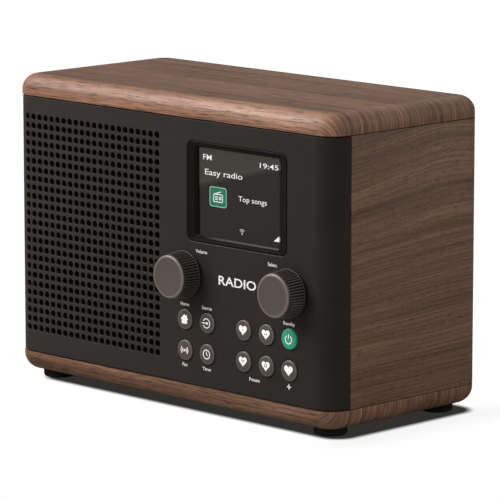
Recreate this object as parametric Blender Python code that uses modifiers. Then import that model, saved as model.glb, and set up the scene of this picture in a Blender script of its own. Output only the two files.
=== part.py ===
"""Tabletop digital radio: wooden cabinet, wrap-round moulded fascia, colour display,
two push-and-turn encoders, ten push buttons, one full-range speaker and a telescopic
aerial on the back.

Frame: origin at the middle of the footprint on the table (feet at Z = 0), +X to the
right as the listener sees it, the front faces -Y, +Z is up. Lengths are in metres;
the driving dimensions below are in millimetres times MM.
"""

import math

import bmesh
import bpy
from mathutils import Matrix, Vector

MM = 0.001

# ---------------------------------------------------------------- driving dimensions
WIDTH = 218.0 * MM            # over the wood
DEPTH = 103.6 * MM            # over the wood, front plane to rear plane
FOOT_H = 4.0 * MM             # underside of the cabinet above the table
TOP_Z = 151.1 * MM            # top face
TOP_T = 9.9 * MM              # top slab
BOTTOM_T = 9.6 * MM           # bottom slab
KNOB_OUT = 11.2 * MM          # knob face in front of the fascia plane
AERIAL_OUT = 9.0 * MM         # aerial joint behind the rear plane
CORNER_R = 12.0 * MM          # upright corners, in plan
TOP_EDGE_R = 7.6 * MM         # rounding of the top slab's edge
BOTTOM_EDGE_R = 8.2 * MM      # rounding of the bottom slab's edge
GAP = 0.3 * MM                # clearance where pieces sit against each other

F = -(KNOB_OUT + DEPTH + AERIAL_OUT) / 2 + KNOB_OUT   # front plane of the wood
R = F + DEPTH                                         # rear plane of the wood
HALF = WIDTH / 2

FASCIA_INSET = 0.3 * MM       # fascia set back from the wood
FASCIA_T = 3.0 * MM
FASCIA_WRAP = 12.4 * MM       # how far the fascia runs back round the corners
FASCIA_Z0 = FOOT_H + BOTTOM_T + GAP
FASCIA_Z1 = TOP_Z - TOP_T - GAP
SKIN = F + FASCIA_INSET       # front skin of the fascia
SKIN_BACK = SKIN + FASCIA_T

SIDE_T = 10.0 * MM            # side panel
BATTEN_X = 89.0 * MM          # inner face of the screw batten on the side panel
COVER_T = 3.0 * MM
COVER_BACK = R - 2.0 * MM     # outer face of the rear cover
COVER_FRONT = COVER_BACK - COVER_T
COVER_HALF = 96.7 * MM

DISPLAY_X, DISPLAY_Z = 46.7 * MM, 106.85 * MM
DISPLAY_W, DISPLAY_H = 66.0 * MM, 48.0 * MM          # opening in the fascia
SCREEN_W, SCREEN_H = 53.4 * MM, 41.9 * MM            # visible picture

KNOB_Z = 66.6 * MM
VOLUME_X, SELECT_X = 12.7 * MM, 81.8 * MM
KNOB_R = 11.5 * MM
BUTTON_R = 5.0 * MM
BUTTON_OUT = 0.9 * MM
BUTTON_TRAVEL = 0.5 * MM
BUTTON_ROWS = (45.0 * MM, 30.1 * MM)
BUTTONS = (
    ("button_home", 12.8 * MM, 0),
    ("button_source", 27.7 * MM, 0),
    ("button_pair", 12.8 * MM, 1),
    ("button_timer", 27.7 * MM, 1),
    ("button_preset_1", 52.0 * MM, 0),
    ("button_preset_2", 67.0 * MM, 0),
    ("button_standby", 81.8 * MM, 0),
    ("button_preset_3", 52.0 * MM, 1),
    ("button_preset_4", 67.0 * MM, 1),
    ("button_favourite", 81.8 * MM, 1),
)

BOARD_FRONT = F + 12.0 * MM   # control board, component side
BOARD_T = 1.6 * MM

SPEAKER_X, SPEAKER_Z = -52.5 * MM, 78.5 * MM
SPEAKER_Y = SKIN_BACK + 4.0 * MM   # front of the speaker's flange
SPEAKER_R = 43.0 * MM
SPEAKER_SCREW_R = 39.5 * MM

AERIAL_X, AERIAL_Z = 80.0 * MM, 133.0 * MM
AERIAL_Y = R + 4.5 * MM       # axis of the folded aerial
AERIAL_L = 136.0 * MM         # length of the outer tube

FOOT_R = 7.8 * MM
FOOT_X, FOOT_DY = 93.4 * MM, 15.6 * MM


# ---------------------------------------------------------------- scene and helpers
for old in list(bpy.data.objects):
    bpy.data.objects.remove(old, do_unlink=True)

parts = bpy.data.collections.new("tabletop_radio")
cutters = bpy.data.collections.new("cutters")
bpy.context.scene.collection.children.link(parts)
bpy.context.scene.collection.children.link(cutters)


def material(name, color, roughness, metallic=0.0):
    mat = bpy.data.materials.new(name)
    mat.use_nodes = True
    shader = mat.node_tree.nodes["Principled BSDF"]
    shader.inputs["Base Color"].default_value = (*color, 1.0)
    shader.inputs["Roughness"].default_value = roughness
    shader.inputs["Metallic"].default_value = metallic
    mat.diffuse_color = (*color, 1.0)
    return mat


WALNUT = material("walnut", (0.24, 0.13, 0.085), 0.42)
CHARCOAL = material("charcoal_plastic", (0.040, 0.036, 0.033), 0.48)
COVER_BLACK = material("rear_plastic", (0.020, 0.020, 0.020), 0.55)
BEZEL_BLACK = material("bezel_gloss", (0.008, 0.008, 0.008), 0.12)
GLASS = material("display_glass", (0.05, 0.05, 0.05), 0.05)
KNOB_PLASTIC = material("knob_plastic", (0.085, 0.070, 0.064), 0.38)
BUTTON_PLASTIC = material("button_plastic", (0.060, 0.052, 0.047), 0.42)
STANDBY_GREEN = material("standby_green", (0.045, 0.36, 0.24), 0.40)
RUBBER = material("foot_rubber", (0.012, 0.012, 0.012), 0.80)
BOARD_GREEN = material("circuit_board", (0.015, 0.12, 0.05), 0.45)
STEEL = material("zinc_steel", (0.55, 0.55, 0.56), 0.30, 1.0)
CHROME = material("aerial_chrome", (0.75, 0.75, 0.76), 0.12, 1.0)
MAGNET = material("magnet_ferrite", (0.05, 0.05, 0.055), 0.60)
PAPER = material("speaker_paper", (0.03, 0.03, 0.03), 0.85)
SOCKET_BLACK = material("socket_plastic", (0.015, 0.015, 0.015), 0.50)
CABLE_GREY = material("cable_grey", (0.30, 0.30, 0.30), 0.60)


def place(obj, mat=None, collection=parts):
    collection.objects.link(obj)
    if mat is not None:
        obj.data.materials.append(mat)
    if collection is cutters:
        obj.hide_render = True
        obj.display_type = "WIRE"
    return obj


def mesh_object(name, bm, mat=None, collection=parts, smooth=True):
    bmesh.ops.recalc_face_normals(bm, faces=bm.faces)
    mesh = bpy.data.meshes.new(name)
    bm.to_mesh(mesh)
    bm.free()
    if smooth:
        mesh.shade_smooth()
        mesh.set_sharp_from_angle(angle=math.radians(35))
    return place(bpy.data.objects.new(name, mesh), mat, collection)


def box_mesh(x0, x1, y0, y1, z0, z1):
    bm = bmesh.new()
    bmesh.ops.create_cube(bm, size=1.0)
    bmesh.ops.scale(bm, vec=(x1 - x0, y1 - y0, z1 - z0), verts=bm.verts)
    bmesh.ops.translate(
        bm, vec=((x0 + x1) / 2, (y0 + y1) / 2, (z0 + z1) / 2), verts=bm.verts
    )
    return bm


def box(name, x0, x1, y0, y1, z0, z1, mat=None, collection=parts):
    return mesh_object(name, box_mesh(x0, x1, y0, y1, z0, z1), mat, collection, False)


def round_edges(bm, axis, radius, segments):
    """Rounds the straight edges that run along one axis."""
    along = [
        e
        for e in bm.edges
        if abs((e.verts[1].co - e.verts[0].co).normalized()[axis]) > 0.999
    ]
    bmesh.ops.bevel(
        bm, geom=along, offset=radius, offset_type="OFFSET", segments=segments,
        profile=0.5, affect="EDGES",
    )


def round_rim(bm, z, radius, segments):
    """Rounds the closed edge loop that bounds the flat face at height z."""
    loop = [
        e
        for e in bm.edges
        if all(abs(v.co.z - z) < 1e-7 for v in e.verts)
        and any(abs(f.normal.z) < 0.5 for f in e.link_faces)
    ]
    bmesh.ops.bevel(
        bm, geom=loop, offset=radius, offset_type="OFFSET", segments=segments,
        profile=0.5, affect="EDGES",
    )


def rounded_plate(name, x0, x1, y0, y1, z0, z1, axis, radius, segments, mat=None,
                  collection=parts):
    bm = box_mesh(x0, x1, y0, y1, z0, z1)
    round_edges(bm, axis, radius, segments)
    return mesh_object(name, bm, mat, collection)


AIM = {
    "+Z": (0.0, 0.0, 0.0),
    "-Y": (math.radians(90), 0.0, 0.0),
    "+Y": (math.radians(-90), 0.0, 0.0),
    "-X": (0.0, math.radians(-90), 0.0),
}


def rod(name, radius, length, at, aim, sides=24, mat=None, collection=parts):
    """A cylinder from the point `at`, `length` long, towards `aim`."""
    bm = bmesh.new()
    bmesh.ops.create_cone(
        bm, cap_ends=True, segments=sides, radius1=radius, radius2=radius, depth=length
    )
    bmesh.ops.translate(bm, vec=(0, 0, length / 2), verts=bm.verts)
    obj = mesh_object(name, bm, mat, collection)
    obj.location = at
    obj.rotation_euler = AIM[aim]
    return obj


def turned(name, profile, at, aim, sides, mat=None, collection=parts, ring=False):
    """A turned piece. The profile is (radius, height) pairs in metres, which run down
    the outer side; a ring's profile closes on itself."""
    bm = bmesh.new()
    verts = [bm.verts.new((r, 0.0, h)) for r, h in profile]
    for a, b in zip(verts, verts[1:]):
        bm.edges.new((a, b))
    if ring:
        bm.edges.new((verts[-1], verts[0]))
    mesh = bpy.data.meshes.new(name)
    bm.to_mesh(mesh)
    bm.free()
    obj = place(bpy.data.objects.new(name, mesh), mat, collection)
    screw = obj.modifiers.new("turn", "SCREW")
    screw.axis = "Z"
    screw.angle = math.radians(360)
    screw.steps = screw.render_steps = sides
    screw.use_merge_vertices = True
    screw.merge_threshold = 1e-6
    screw.use_normal_calculate = False
    screw.use_smooth_shade = False
    obj.location = at
    obj.rotation_euler = AIM[aim]
    return obj


def boolean(obj, other, operation):
    mod = obj.modifiers.new(operation.lower() + "_" + other.name, "BOOLEAN")
    mod.operation = operation
    mod.object = other
    return obj


def cut(obj, *others):
    for other in others:
        boolean(obj, other, "DIFFERENCE")


def join(obj, *others):
    for other in others:
        boolean(obj, other, "UNION")


def group(name, objects):
    """Moves helper shapes into a collection of their own, for one Boolean."""
    coll = bpy.data.collections.new(name)
    cutters.children.link(coll)
    for obj in objects:
        cutters.objects.unlink(obj)
        coll.objects.link(obj)
    return coll


def boolean_group(obj, coll, operation):
    mod = obj.modifiers.new(operation.lower() + "_" + coll.name, "BOOLEAN")
    mod.operation = operation
    mod.operand_type = "COLLECTION"
    mod.collection = coll
    return obj


def extruded_outline(name, points, z0, z1, mat):
    """An upright prism over a plan outline, as a flat filled curve with thickness."""
    curve = bpy.data.curves.new(name, "CURVE")
    curve.dimensions = "2D"
    curve.fill_mode = "BOTH"
    curve.extrude = (z1 - z0) / 2
    spline = curve.splines.new("POLY")
    spline.points.add(len(points) - 1)
    for point, (x, y) in zip(spline.points, points):
        point.co = (x, y, 0.0, 1.0)
    spline.use_cyclic_u = True
    source = bpy.data.objects.new(name + "_outline", curve)
    bpy.context.scene.collection.objects.link(source)
    source.location.z = (z0 + z1) / 2
    bpy.context.view_layer.update()
    graph = bpy.context.evaluated_depsgraph_get()
    mesh = bpy.data.meshes.new_from_object(source.evaluated_get(graph))
    mesh.name = name
    bm = bmesh.new()
    bm.from_mesh(mesh)
    bmesh.ops.remove_doubles(bm, verts=bm.verts, dist=1e-6)
    bmesh.ops.recalc_face_normals(bm, faces=bm.faces)
    bm.to_mesh(mesh)
    bm.free()
    obj = place(bpy.data.objects.new(name, mesh), None)
    obj.matrix_world = source.matrix_world
    obj.data.materials.clear()
    obj.data.materials.append(mat)
    bpy.data.objects.remove(source, do_unlink=True)
    return obj


def arc(cx, cy, radius, start, end, steps):
    """Plan points on an arc, angles in degrees from +X towards +Y."""
    return [
        (
            cx + radius * math.cos(math.radians(start + (end - start) * i / steps)),
            cy + radius * math.sin(math.radians(start + (end - start) * i / steps)),
        )
        for i in range(steps + 1)
    ]


# ---------------------------------------------------------------- cabinet
def slab(name, z0, z1, rim_z, rim_r):
    bm = box_mesh(-HALF, HALF, F, R, z0, z1)
    round_edges(bm, 2, CORNER_R, 6)
    round_rim(bm, rim_z, rim_r, 3)
    return mesh_object(name, bm, WALNUT)


top_panel = slab("top_panel", TOP_Z - TOP_T, TOP_Z, TOP_Z, TOP_EDGE_R)
bottom_panel = slab("bottom_panel", FOOT_H, FOOT_H + BOTTOM_T, FOOT_H, BOTTOM_EDGE_R)


def side_panel(name, sign):
    """A side panel with a thicker batten at the rear that the cover screws into."""
    front = F + FASCIA_WRAP + GAP
    outline = [(HALF, front), (HALF, R - CORNER_R)]
    outline += arc(HALF - CORNER_R, R - CORNER_R, CORNER_R, 0, 90, 6)[1:]
    outline += [
        (COVER_HALF + GAP, COVER_FRONT - GAP),
        (BATTEN_X, COVER_FRONT - GAP),
        (BATTEN_X, R - 17 * MM),
        (HALF - SIDE_T, R - 23 * MM),
        (HALF - SIDE_T, front),
    ]
    outline = [(sign * x, y) for x, y in outline]
    panel = extruded_outline(name, outline, FASCIA_Z0, FASCIA_Z1, WALNUT)
    for i, z in enumerate(COVER_SCREW_Z):
        cut(panel, rod(f"{name}_pilot_{i}", 1.75 * MM, 13 * MM,
                       (sign * COVER_SCREW_X, COVER_FRONT + 1 * MM, z), "-Y", 12,
                       collection=cutters))
    return panel


COVER_SCREW_X = 92.8 * MM
COVER_SCREW_Z = (21.0 * MM, 76.8 * MM, 122.0 * MM)
side_panel("side_panel_right", 1)
side_panel("side_panel_left", -1)

for name, sx, sy in (
    ("foot_front_left", -1, 0), ("foot_front_right", 1, 0),
    ("foot_rear_left", -1, 1), ("foot_rear_right", 1, 1),
):
    y = R - FOOT_DY if sy else F + FOOT_DY
    turned(
        name,
        [(0, FOOT_H - GAP), (FOOT_R, FOOT_H - GAP), (FOOT_R, 0.8 * MM),
         (FOOT_R - 0.8 * MM, 0), (0, 0)],
        (sx * FOOT_X, y, 0), "+Z", 24, RUBBER,
    )

# ---------------------------------------------------------------- fascia
# One plate that wraps round both front corners and stops against the side panels.
outer = HALF - FASCIA_INSET
corner = CORNER_R - FASCIA_INSET
path = [(-outer, F + FASCIA_WRAP)]
path += arc(-outer + corner, SKIN + corner, corner, 180, 270, 6)
path += arc(outer - corner, SKIN + corner, corner, 270, 360, 6)
path += [(outer, F + FASCIA_WRAP)]
bm = bmesh.new()
low = [bm.verts.new((x, y, FASCIA_Z0)) for x, y in path]
sweep = bmesh.ops.extrude_edge_only(
    bm, edges=[bm.edges.new(pair) for pair in zip(low, low[1:])]
)["geom"]
bmesh.ops.translate(
    bm, vec=(0, 0, FASCIA_Z1 - FASCIA_Z0),
    verts=[g for g in sweep if isinstance(g, bmesh.types.BMVert)],
)
for face in bm.faces:   # normals away from the middle of the cabinet
    middle = face.calc_center_median()
    face.normal_update()
    if face.normal.dot(Vector((middle.x, middle.y, 0))) < 0:
        face.normal_flip()
mesh = bpy.data.meshes.new("front_fascia")
bm.to_mesh(mesh)
bm.free()
mesh.shade_smooth()
front_fascia = place(bpy.data.objects.new("front_fascia", mesh), CHARCOAL)
wall = front_fascia.modifiers.new("wall", "SOLIDIFY")
wall.thickness = FASCIA_T
wall.offset = -1.0
wall.use_even_offset = True

holes = [
    rounded_plate(
        "display_hole", DISPLAY_X - DISPLAY_W / 2, DISPLAY_X + DISPLAY_W / 2,
        SKIN - 5 * MM, SKIN_BACK + 0.5 * MM, DISPLAY_Z - DISPLAY_H / 2, DISPLAY_Z + DISPLAY_H / 2,
        1, 3.6 * MM, 5, collection=cutters,
    )
]
for name, x in (("volume", VOLUME_X), ("select", SELECT_X)):
    holes.append(rod(name + "_hole", 4.7 * MM, 8 * MM, (x, SKIN + 5 * MM, KNOB_Z), "-Y",
                     24, collection=cutters))
for name, x, row in BUTTONS:
    holes.append(rod(name + "_hole", BUTTON_R + 0.25 * MM, 8 * MM,
                     (x, SKIN + 5 * MM, BUTTON_ROWS[row]), "-Y", 16, collection=cutters))
boolean_group(front_fascia, group("fascia_holes", holes), "DIFFERENCE")

# Screw posts for the speaker, and staked posts that carry the control board.
speaker_screws = [
    (SPEAKER_X + SPEAKER_SCREW_R * math.cos(math.radians(a)),
     SPEAKER_Z + SPEAKER_SCREW_R * math.sin(math.radians(a)))
    for a in (45, 135, 225, 315)
]
posts = [
    rod(f"speaker_post_{i}", 3.6 * MM, SPEAKER_Y - GAP - SKIN_BACK + 0.6 * MM,
        (x, SKIN_BACK - 0.6 * MM, z), "+Y", 12, collection=cutters)
    for i, (x, z) in enumerate(speaker_screws)
]
BOARD_X0, BOARD_X1, BOARD_Z0, BOARD_Z1 = 3 * MM, 96 * MM, 19 * MM, 137.5 * MM
board_posts = [
    (x, z)
    for x in (BOARD_X0 + 4 * MM, BOARD_X1 - 4 * MM)
    for z in (BOARD_Z0 + 3.5 * MM, BOARD_Z1 - 3.5 * MM)
]
for i, (x, z) in enumerate(board_posts):
    posts.append(
        turned(
            f"board_post_{i}",
            [(0, BOARD_FRONT + BOARD_T + 1 * MM - SKIN_BACK),
             (1.3 * MM, BOARD_FRONT + BOARD_T + 1 * MM - SKIN_BACK),
             (1.3 * MM, BOARD_FRONT - GAP - SKIN_BACK),
             (2.8 * MM, BOARD_FRONT - GAP - SKIN_BACK),
             (2.8 * MM, -0.6 * MM), (0, -0.6 * MM)],
            (x, SKIN_BACK, z), "+Y", 12, collection=cutters,
        )
    )
boolean_group(front_fascia, group("fascia_posts", posts), "UNION")
boolean_group(
    front_fascia,
    group("fascia_post_bores", [
        rod(f"speaker_bore_{i}", 1.7 * MM, 5 * MM, (x, SKIN_BACK + 0.4 * MM, z), "+Y",
            12, collection=cutters)
        for i, (x, z) in enumerate(speaker_screws)
    ]),
    "DIFFERENCE",
)

# ---------------------------------------------------------------- display
BEZEL_FRONT = SKIN + 0.05 * MM
bezel = rounded_plate(
    "display_bezel", DISPLAY_X - DISPLAY_W / 2 + 0.2 * MM, DISPLAY_X + DISPLAY_W / 2 - 0.2 * MM,
    BEZEL_FRONT, SKIN_BACK + 1.5 * MM,
    DISPLAY_Z - DISPLAY_H / 2 + 0.2 * MM, DISPLAY_Z + DISPLAY_H / 2 - 0.2 * MM,
    1, 3.4 * MM, 5, BEZEL_BLACK,
)
flange = rounded_plate(
    "bezel_flange", DISPLAY_X - DISPLAY_W / 2 - 2 * MM, DISPLAY_X + DISPLAY_W / 2 + 2 * MM,
    SKIN_BACK + GAP, SKIN_BACK + 1.5 * MM,
    DISPLAY_Z - DISPLAY_H / 2 - 2 * MM, DISPLAY_Z + DISPLAY_H / 2 + 2 * MM,
    1, 4 * MM, 3, collection=cutters,
)
# The sloping wall: a picture-sized prism whose front end is drawn out to the rim.
bm = box_mesh(DISPLAY_X - SCREEN_W / 2, DISPLAY_X + SCREEN_W / 2, BEZEL_FRONT - 1 * MM,
              BEZEL_FRONT + 1.5 * MM, DISPLAY_Z - SCREEN_H / 2, DISPLAY_Z + SCREEN_H / 2)
round_edges(bm, 1, 2.6 * MM, 4)
reach = 2.5 / 1.5     # the slope is carried on 1 mm past the front face
for v in bm.verts:
    if v.co.y < BEZEL_FRONT:
        v.co.x = DISPLAY_X + (v.co.x - DISPLAY_X) * (
            1 + reach * ((DISPLAY_W - 1.6 * MM) / SCREEN_W - 1))
        v.co.z = DISPLAY_Z + (v.co.z - DISPLAY_Z) * (
            1 + reach * ((DISPLAY_H - 1.6 * MM) / SCREEN_H - 1))
slope = mesh_object("bezel_slope", bm, collection=cutters)
sight = rounded_plate(
    "bezel_sight", DISPLAY_X - SCREEN_W / 2, DISPLAY_X + SCREEN_W / 2,
    BEZEL_FRONT + 1 * MM, SKIN_BACK + 4 * MM,
    DISPLAY_Z - SCREEN_H / 2, DISPLAY_Z + SCREEN_H / 2, 1, 0.8 * MM, 2, collection=cutters,
)
PANE_Y = BEZEL_FRONT + 2.1 * MM
rebate = box(
    "bezel_rebate", DISPLAY_X - 28.7 * MM, DISPLAY_X + 28.7 * MM, PANE_Y, SKIN_BACK + 4 * MM,
    DISPLAY_Z - 22.6 * MM, DISPLAY_Z + 22.6 * MM, collection=cutters,
)
join(bezel, flange)
cut(bezel, slope, sight, rebate)

rounded_plate(
    "display_window", DISPLAY_X - 28.4 * MM, DISPLAY_X + 28.4 * MM,
    PANE_Y + 0.1 * MM, PANE_Y + 1.3 * MM, DISPLAY_Z - 22.3 * MM, DISPLAY_Z + 22.3 * MM,
    1, 1 * MM, 2, GLASS,
)
module = box("display_module", DISPLAY_X - 31 * MM, DISPLAY_X + 31 * MM,
             SKIN_BACK + 1.8 * MM, SKIN_BACK + 5.4 * MM,
             DISPLAY_Z - 24 * MM, DISPLAY_Z + 24 * MM, STEEL)
join(module, box("module_panel", DISPLAY_X - 28 * MM, DISPLAY_X + 28 * MM,
                 PANE_Y + 1.6 * MM, SKIN_BACK + 2.4 * MM,
                 DISPLAY_Z - 22 * MM, DISPLAY_Z + 22 * MM, collection=cutters))

# ---------------------------------------------------------------- encoders and knobs
HOUSING_Y0, HOUSING_Y1 = F + 5.4 * MM, BOARD_FRONT - GAP
CHAMBER_Y0, CHAMBER_Y1 = HOUSING_Y0 + 1.0 * MM, HOUSING_Y1 - 0.6 * MM
for name, x in (("volume", VOLUME_X), ("select", SELECT_X)):
    housing = box(name + "_encoder", x - 6.2 * MM, x + 6.2 * MM, HOUSING_Y0, HOUSING_Y1,
                  KNOB_Z - 6.6 * MM, KNOB_Z + 6.6 * MM, STEEL)
    join(housing, rod(name + "_bushing", 4.3 * MM, HOUSING_Y0 - (F - 1.0 * MM) + 0.5 * MM,
                      (x, HOUSING_Y0 + 0.5 * MM, KNOB_Z), "-Y", 24, collection=cutters))
    cut(housing,
        rod(name + "_bushing_bore", 3.3 * MM, 12 * MM, (x, CHAMBER_Y0 + 1 * MM, KNOB_Z),
            "-Y", 24, collection=cutters),
        rod(name + "_chamber", 5.4 * MM, CHAMBER_Y1 - CHAMBER_Y0, (x, CHAMBER_Y0, KNOB_Z),
            "+Y", 24, collection=cutters))
    # The contact rotor turns in the chamber; the shaft slides through its hexagon.
    rotor = rod(name + "_rotor", 5.1 * MM, 1.8 * MM, (x, CHAMBER_Y0 + 1.0 * MM, KNOB_Z),
                "+Y", 24, SOCKET_BLACK)
    cut(rotor, rod(name + "_rotor_hexagon", 4.2 * MM, 6 * MM, (x, CHAMBER_Y0, KNOB_Z),
                   "+Y", 6, collection=cutters))
    shaft = rod(name + "_shaft", 3.0 * MM, CHAMBER_Y0 + 1.2 * MM - (F - 8.2 * MM),
                (x, CHAMBER_Y0 + 1.2 * MM, KNOB_Z), "-Y", 24, STEEL)
    join(shaft, rod(name + "_shaft_hexagon", 3.9 * MM, CHAMBER_Y1 - 0.9 * MM - CHAMBER_Y0 - 0.4 * MM,
                    (x, CHAMBER_Y0 + 0.4 * MM, KNOB_Z), "+Y", 6, collection=cutters))
    turned(
        name + "_knob",
        [(0, KNOB_OUT), (9.3 * MM, KNOB_OUT), (10.0 * MM, KNOB_OUT - 0.5 * MM),
         (10.4 * MM, KNOB_OUT - 1.5 * MM), (KNOB_R, 1.7 * MM), (KNOB_R - 0.6 * MM, 0.9 * MM),
         (9.6 * MM, 0.9 * MM), (9.2 * MM, 8.0 * MM), (5.2 * MM, 8.0 * MM),
         (5.2 * MM, 1.8 * MM), (3.25 * MM, 1.8 * MM), (3.25 * MM, 8.6 * MM), (0, 8.6 * MM)],
        (x, F, KNOB_Z), "-Y", 24, KNOB_PLASTIC,
    )

# ---------------------------------------------------------------- buttons
# Each cap stands proud of the fascia; its flange behind the skin stops it coming out
# and its stem reaches for the switch.
SWITCH_TOP = BOARD_FRONT - 4.5 * MM
for name, x, row in BUTTONS:
    stem_end = SWITCH_TOP - BUTTON_TRAVEL - 0.2 * MM
    turned(
        name,
        [(0, BUTTON_OUT), (BUTTON_R - 0.5 * MM, BUTTON_OUT), (BUTTON_R - 0.05 * MM, BUTTON_OUT - 0.45 * MM),
         (BUTTON_R - 0.05 * MM, -FASCIA_T - GAP), (BUTTON_R + 0.9 * MM, -FASCIA_T - GAP),
         (BUTTON_R + 0.9 * MM, -FASCIA_T - 1.1 * MM), (2.0 * MM, -FASCIA_T - 1.1 * MM),
         (2.0 * MM, SKIN - stem_end), (0, SKIN - stem_end)],
        (x, SKIN, BUTTON_ROWS[row]), "-Y", 16,
        STANDBY_GREEN if name == "button_standby" else BUTTON_PLASTIC,
    )

# ---------------------------------------------------------------- control board
control_board = box("control_board", BOARD_X0, BOARD_X1, BOARD_FRONT, BOARD_FRONT + BOARD_T,
                    BOARD_Z0, BOARD_Z1, BOARD_GREEN)
on_board = []
for name, x, row in BUTTONS:
    z = BUTTON_ROWS[row]
    on_board.append(box(name + "_switch", x - 3 * MM, x + 3 * MM, BOARD_FRONT - 3.5 * MM,
                        BOARD_FRONT + 0.5 * MM, z - 3 * MM, z + 3 * MM, collection=cutters))
    on_board.append(rod(name + "_plunger", 1.7 * MM, 2 * MM, (x, SWITCH_TOP + 2 * MM, z),
                        "-Y", 8, collection=cutters))
on_board.append(box("ribbon_header", 38 * MM, 56 * MM, BOARD_FRONT + 1 * MM,
                    BOARD_FRONT + BOARD_T + 4 * MM, 67 * MM, 73 * MM, collection=cutters))
on_board.append(box("display_driver", 60 * MM, 72 * MM, BOARD_FRONT + 1 * MM,
                    BOARD_FRONT + BOARD_T + 1.2 * MM, 96 * MM, 108 * MM, collection=cutters))
boolean_group(control_board, group("control_board_parts", on_board), "UNION")
boolean_group(
    control_board,
    group("control_board_holes", [
        rod(f"control_stake_{i}", 1.6 * MM, 6 * MM, (x, BOARD_FRONT - 2 * MM, z), "+Y", 12,
            collection=cutters)
        for i, (x, z) in enumerate(board_posts)
    ]),
    "DIFFERENCE",
)

# ---------------------------------------------------------------- speaker
def speaker_profile(points):
    """(radius, distance behind the flange's front) in mm, to (radius, height)."""
    return [(r * MM, -h * MM) for r, h in points]


speaker_at = (SPEAKER_X, SPEAKER_Y, SPEAKER_Z)
speaker_frame = turned(
    "speaker_frame",
    speaker_profile([(33.4, 0), (43, 0), (43, 1.5), (35.2, 1.5), (22, 18.5),
                     (10.5, 18.5), (10.5, 17.0), (20.8, 17.0), (33.4, 1.5)]),
    speaker_at, "-Y", 20, STEEL, ring=True,
)
boolean_group(
    speaker_frame,
    group("speaker_frame_holes", [
        rod(f"speaker_hole_{i}", 1.8 * MM, 6 * MM, (x, SPEAKER_Y - 2 * MM, z), "+Y", 12,
            collection=cutters)
        for i, (x, z) in enumerate(speaker_screws)
    ]),
    "DIFFERENCE",
)
turned(
    "speaker_surround",
    speaker_profile([(30.4, 1.9), (31.0, -0.6), (32.4, -1.8), (33.9, -1.0), (35.4, -1.0),
                     (35.4, -0.3), (34.1, -0.3), (32.5, -1.0), (31.7, 0.1), (31.1, 2.5),
                     (30.4, 2.6)]),
    speaker_at, "-Y", 20, RUBBER, ring=True,
)
# Cone, dust cap and voice coil former move as one piece.
turned(
    "speaker_cone",
    speaker_profile([(0, 9.0), (5, 9.9), (8, 12.0), (30, 2.2), (30, 3.0), (8.2, 13.2),
                     (7.8, 14.0), (7.8, 26.0), (7.1, 26.0), (7.1, 13.0), (4.6, 10.9),
                     (0, 10.0)]),
    speaker_at, "-Y", 20, PAPER,
)
turned(
    "speaker_magnet",
    speaker_profile([(0, 18.8), (6.7, 18.8), (6.7, 28.0), (8.2, 28.0), (8.2, 18.8),
                     (21, 18.8), (21, 31.5), (0, 31.5)]),
    speaker_at, "-Y", 20, MAGNET,
)
for i, (x, z) in enumerate(speaker_screws):
    turned(
        f"speaker_screw_{i + 1}",
        [(0, 3.6 * MM), (1.8 * MM, 3.6 * MM), (2.7 * MM, 2.8 * MM), (2.7 * MM, 1.8 * MM),
         (1.35 * MM, 1.8 * MM), (1.35 * MM, -3.2 * MM), (0, -3.2 * MM)],
        (x, SPEAKER_Y, z), "+Y", 10, STEEL,
    )

# ---------------------------------------------------------------- rear cover
SOCKET_Z = 34.0 * MM
DC_X, JACK_X = 62.0 * MM, 40.0 * MM
rear_cover = rounded_plate(
    "rear_cover", -COVER_HALF, COVER_HALF, COVER_FRONT, COVER_BACK,
    FASCIA_Z0, FASCIA_Z1, 1, 3 * MM, 3, COVER_BLACK,
)
MAIN_Y1 = COVER_FRONT - 9.0 * MM      # back of the main board
MAIN_Y0 = MAIN_Y1 - 1.6 * MM
main_stakes = [(x * MM, z * MM) for x in (24, 82) for z in (24, 92)]
boolean_group(
    rear_cover,
    group("cover_posts", [
        turned(
            f"cover_post_{i}",
            [(0, COVER_FRONT - MAIN_Y0 + 1 * MM), (1.3 * MM, COVER_FRONT - MAIN_Y0 + 1 * MM),
             (1.3 * MM, COVER_FRONT - MAIN_Y1 - GAP), (3 * MM, COVER_FRONT - MAIN_Y1 - GAP),
             (3 * MM, -0.6 * MM), (0, -0.6 * MM)],
            (x, COVER_FRONT, z), "-Y", 12, collection=cutters,
        )
        for i, (x, z) in enumerate(main_stakes)
    ]),
    "UNION",
)
openings = [
    rod(f"cover_screw_hole_{s}_{i}", 1.8 * MM, 8 * MM,
        (s * COVER_SCREW_X, COVER_FRONT - 2 * MM, z), "+Y", 12, collection=cutters)
    for s in (-1, 1)
    for i, z in enumerate(COVER_SCREW_Z)
]
openings.append(rounded_plate(
    "dc_opening", DC_X - 5 * MM, DC_X + 5 * MM, COVER_FRONT - 2 * MM, COVER_BACK + 2 * MM,
    SOCKET_Z - 6 * MM, SOCKET_Z + 6 * MM, 1, 1 * MM, 2, collection=cutters))
openings.append(rod("jack_opening", 4.0 * MM, 9 * MM, (JACK_X, COVER_FRONT - 3 * MM, SOCKET_Z),
                    "+Y", 16, collection=cutters))
openings.append(rod("aerial_opening", 3.0 * MM, 9 * MM, (AERIAL_X, COVER_FRONT - 3 * MM, AERIAL_Z),
                    "+Y", 16, collection=cutters))
for i in range(5):      # air slots behind the speaker
    z = SPEAKER_Z + (i - 2) * 7 * MM
    openings.append(rounded_plate(
        f"air_slot_{i}", SPEAKER_X - 22 * MM, SPEAKER_X + 22 * MM, COVER_FRONT - 2 * MM,
        COVER_BACK + 2 * MM, z - 1.3 * MM, z + 1.3 * MM, 1, 1.29 * MM, 2, collection=cutters))
boolean_group(rear_cover, group("cover_openings", openings), "DIFFERENCE")

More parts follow.
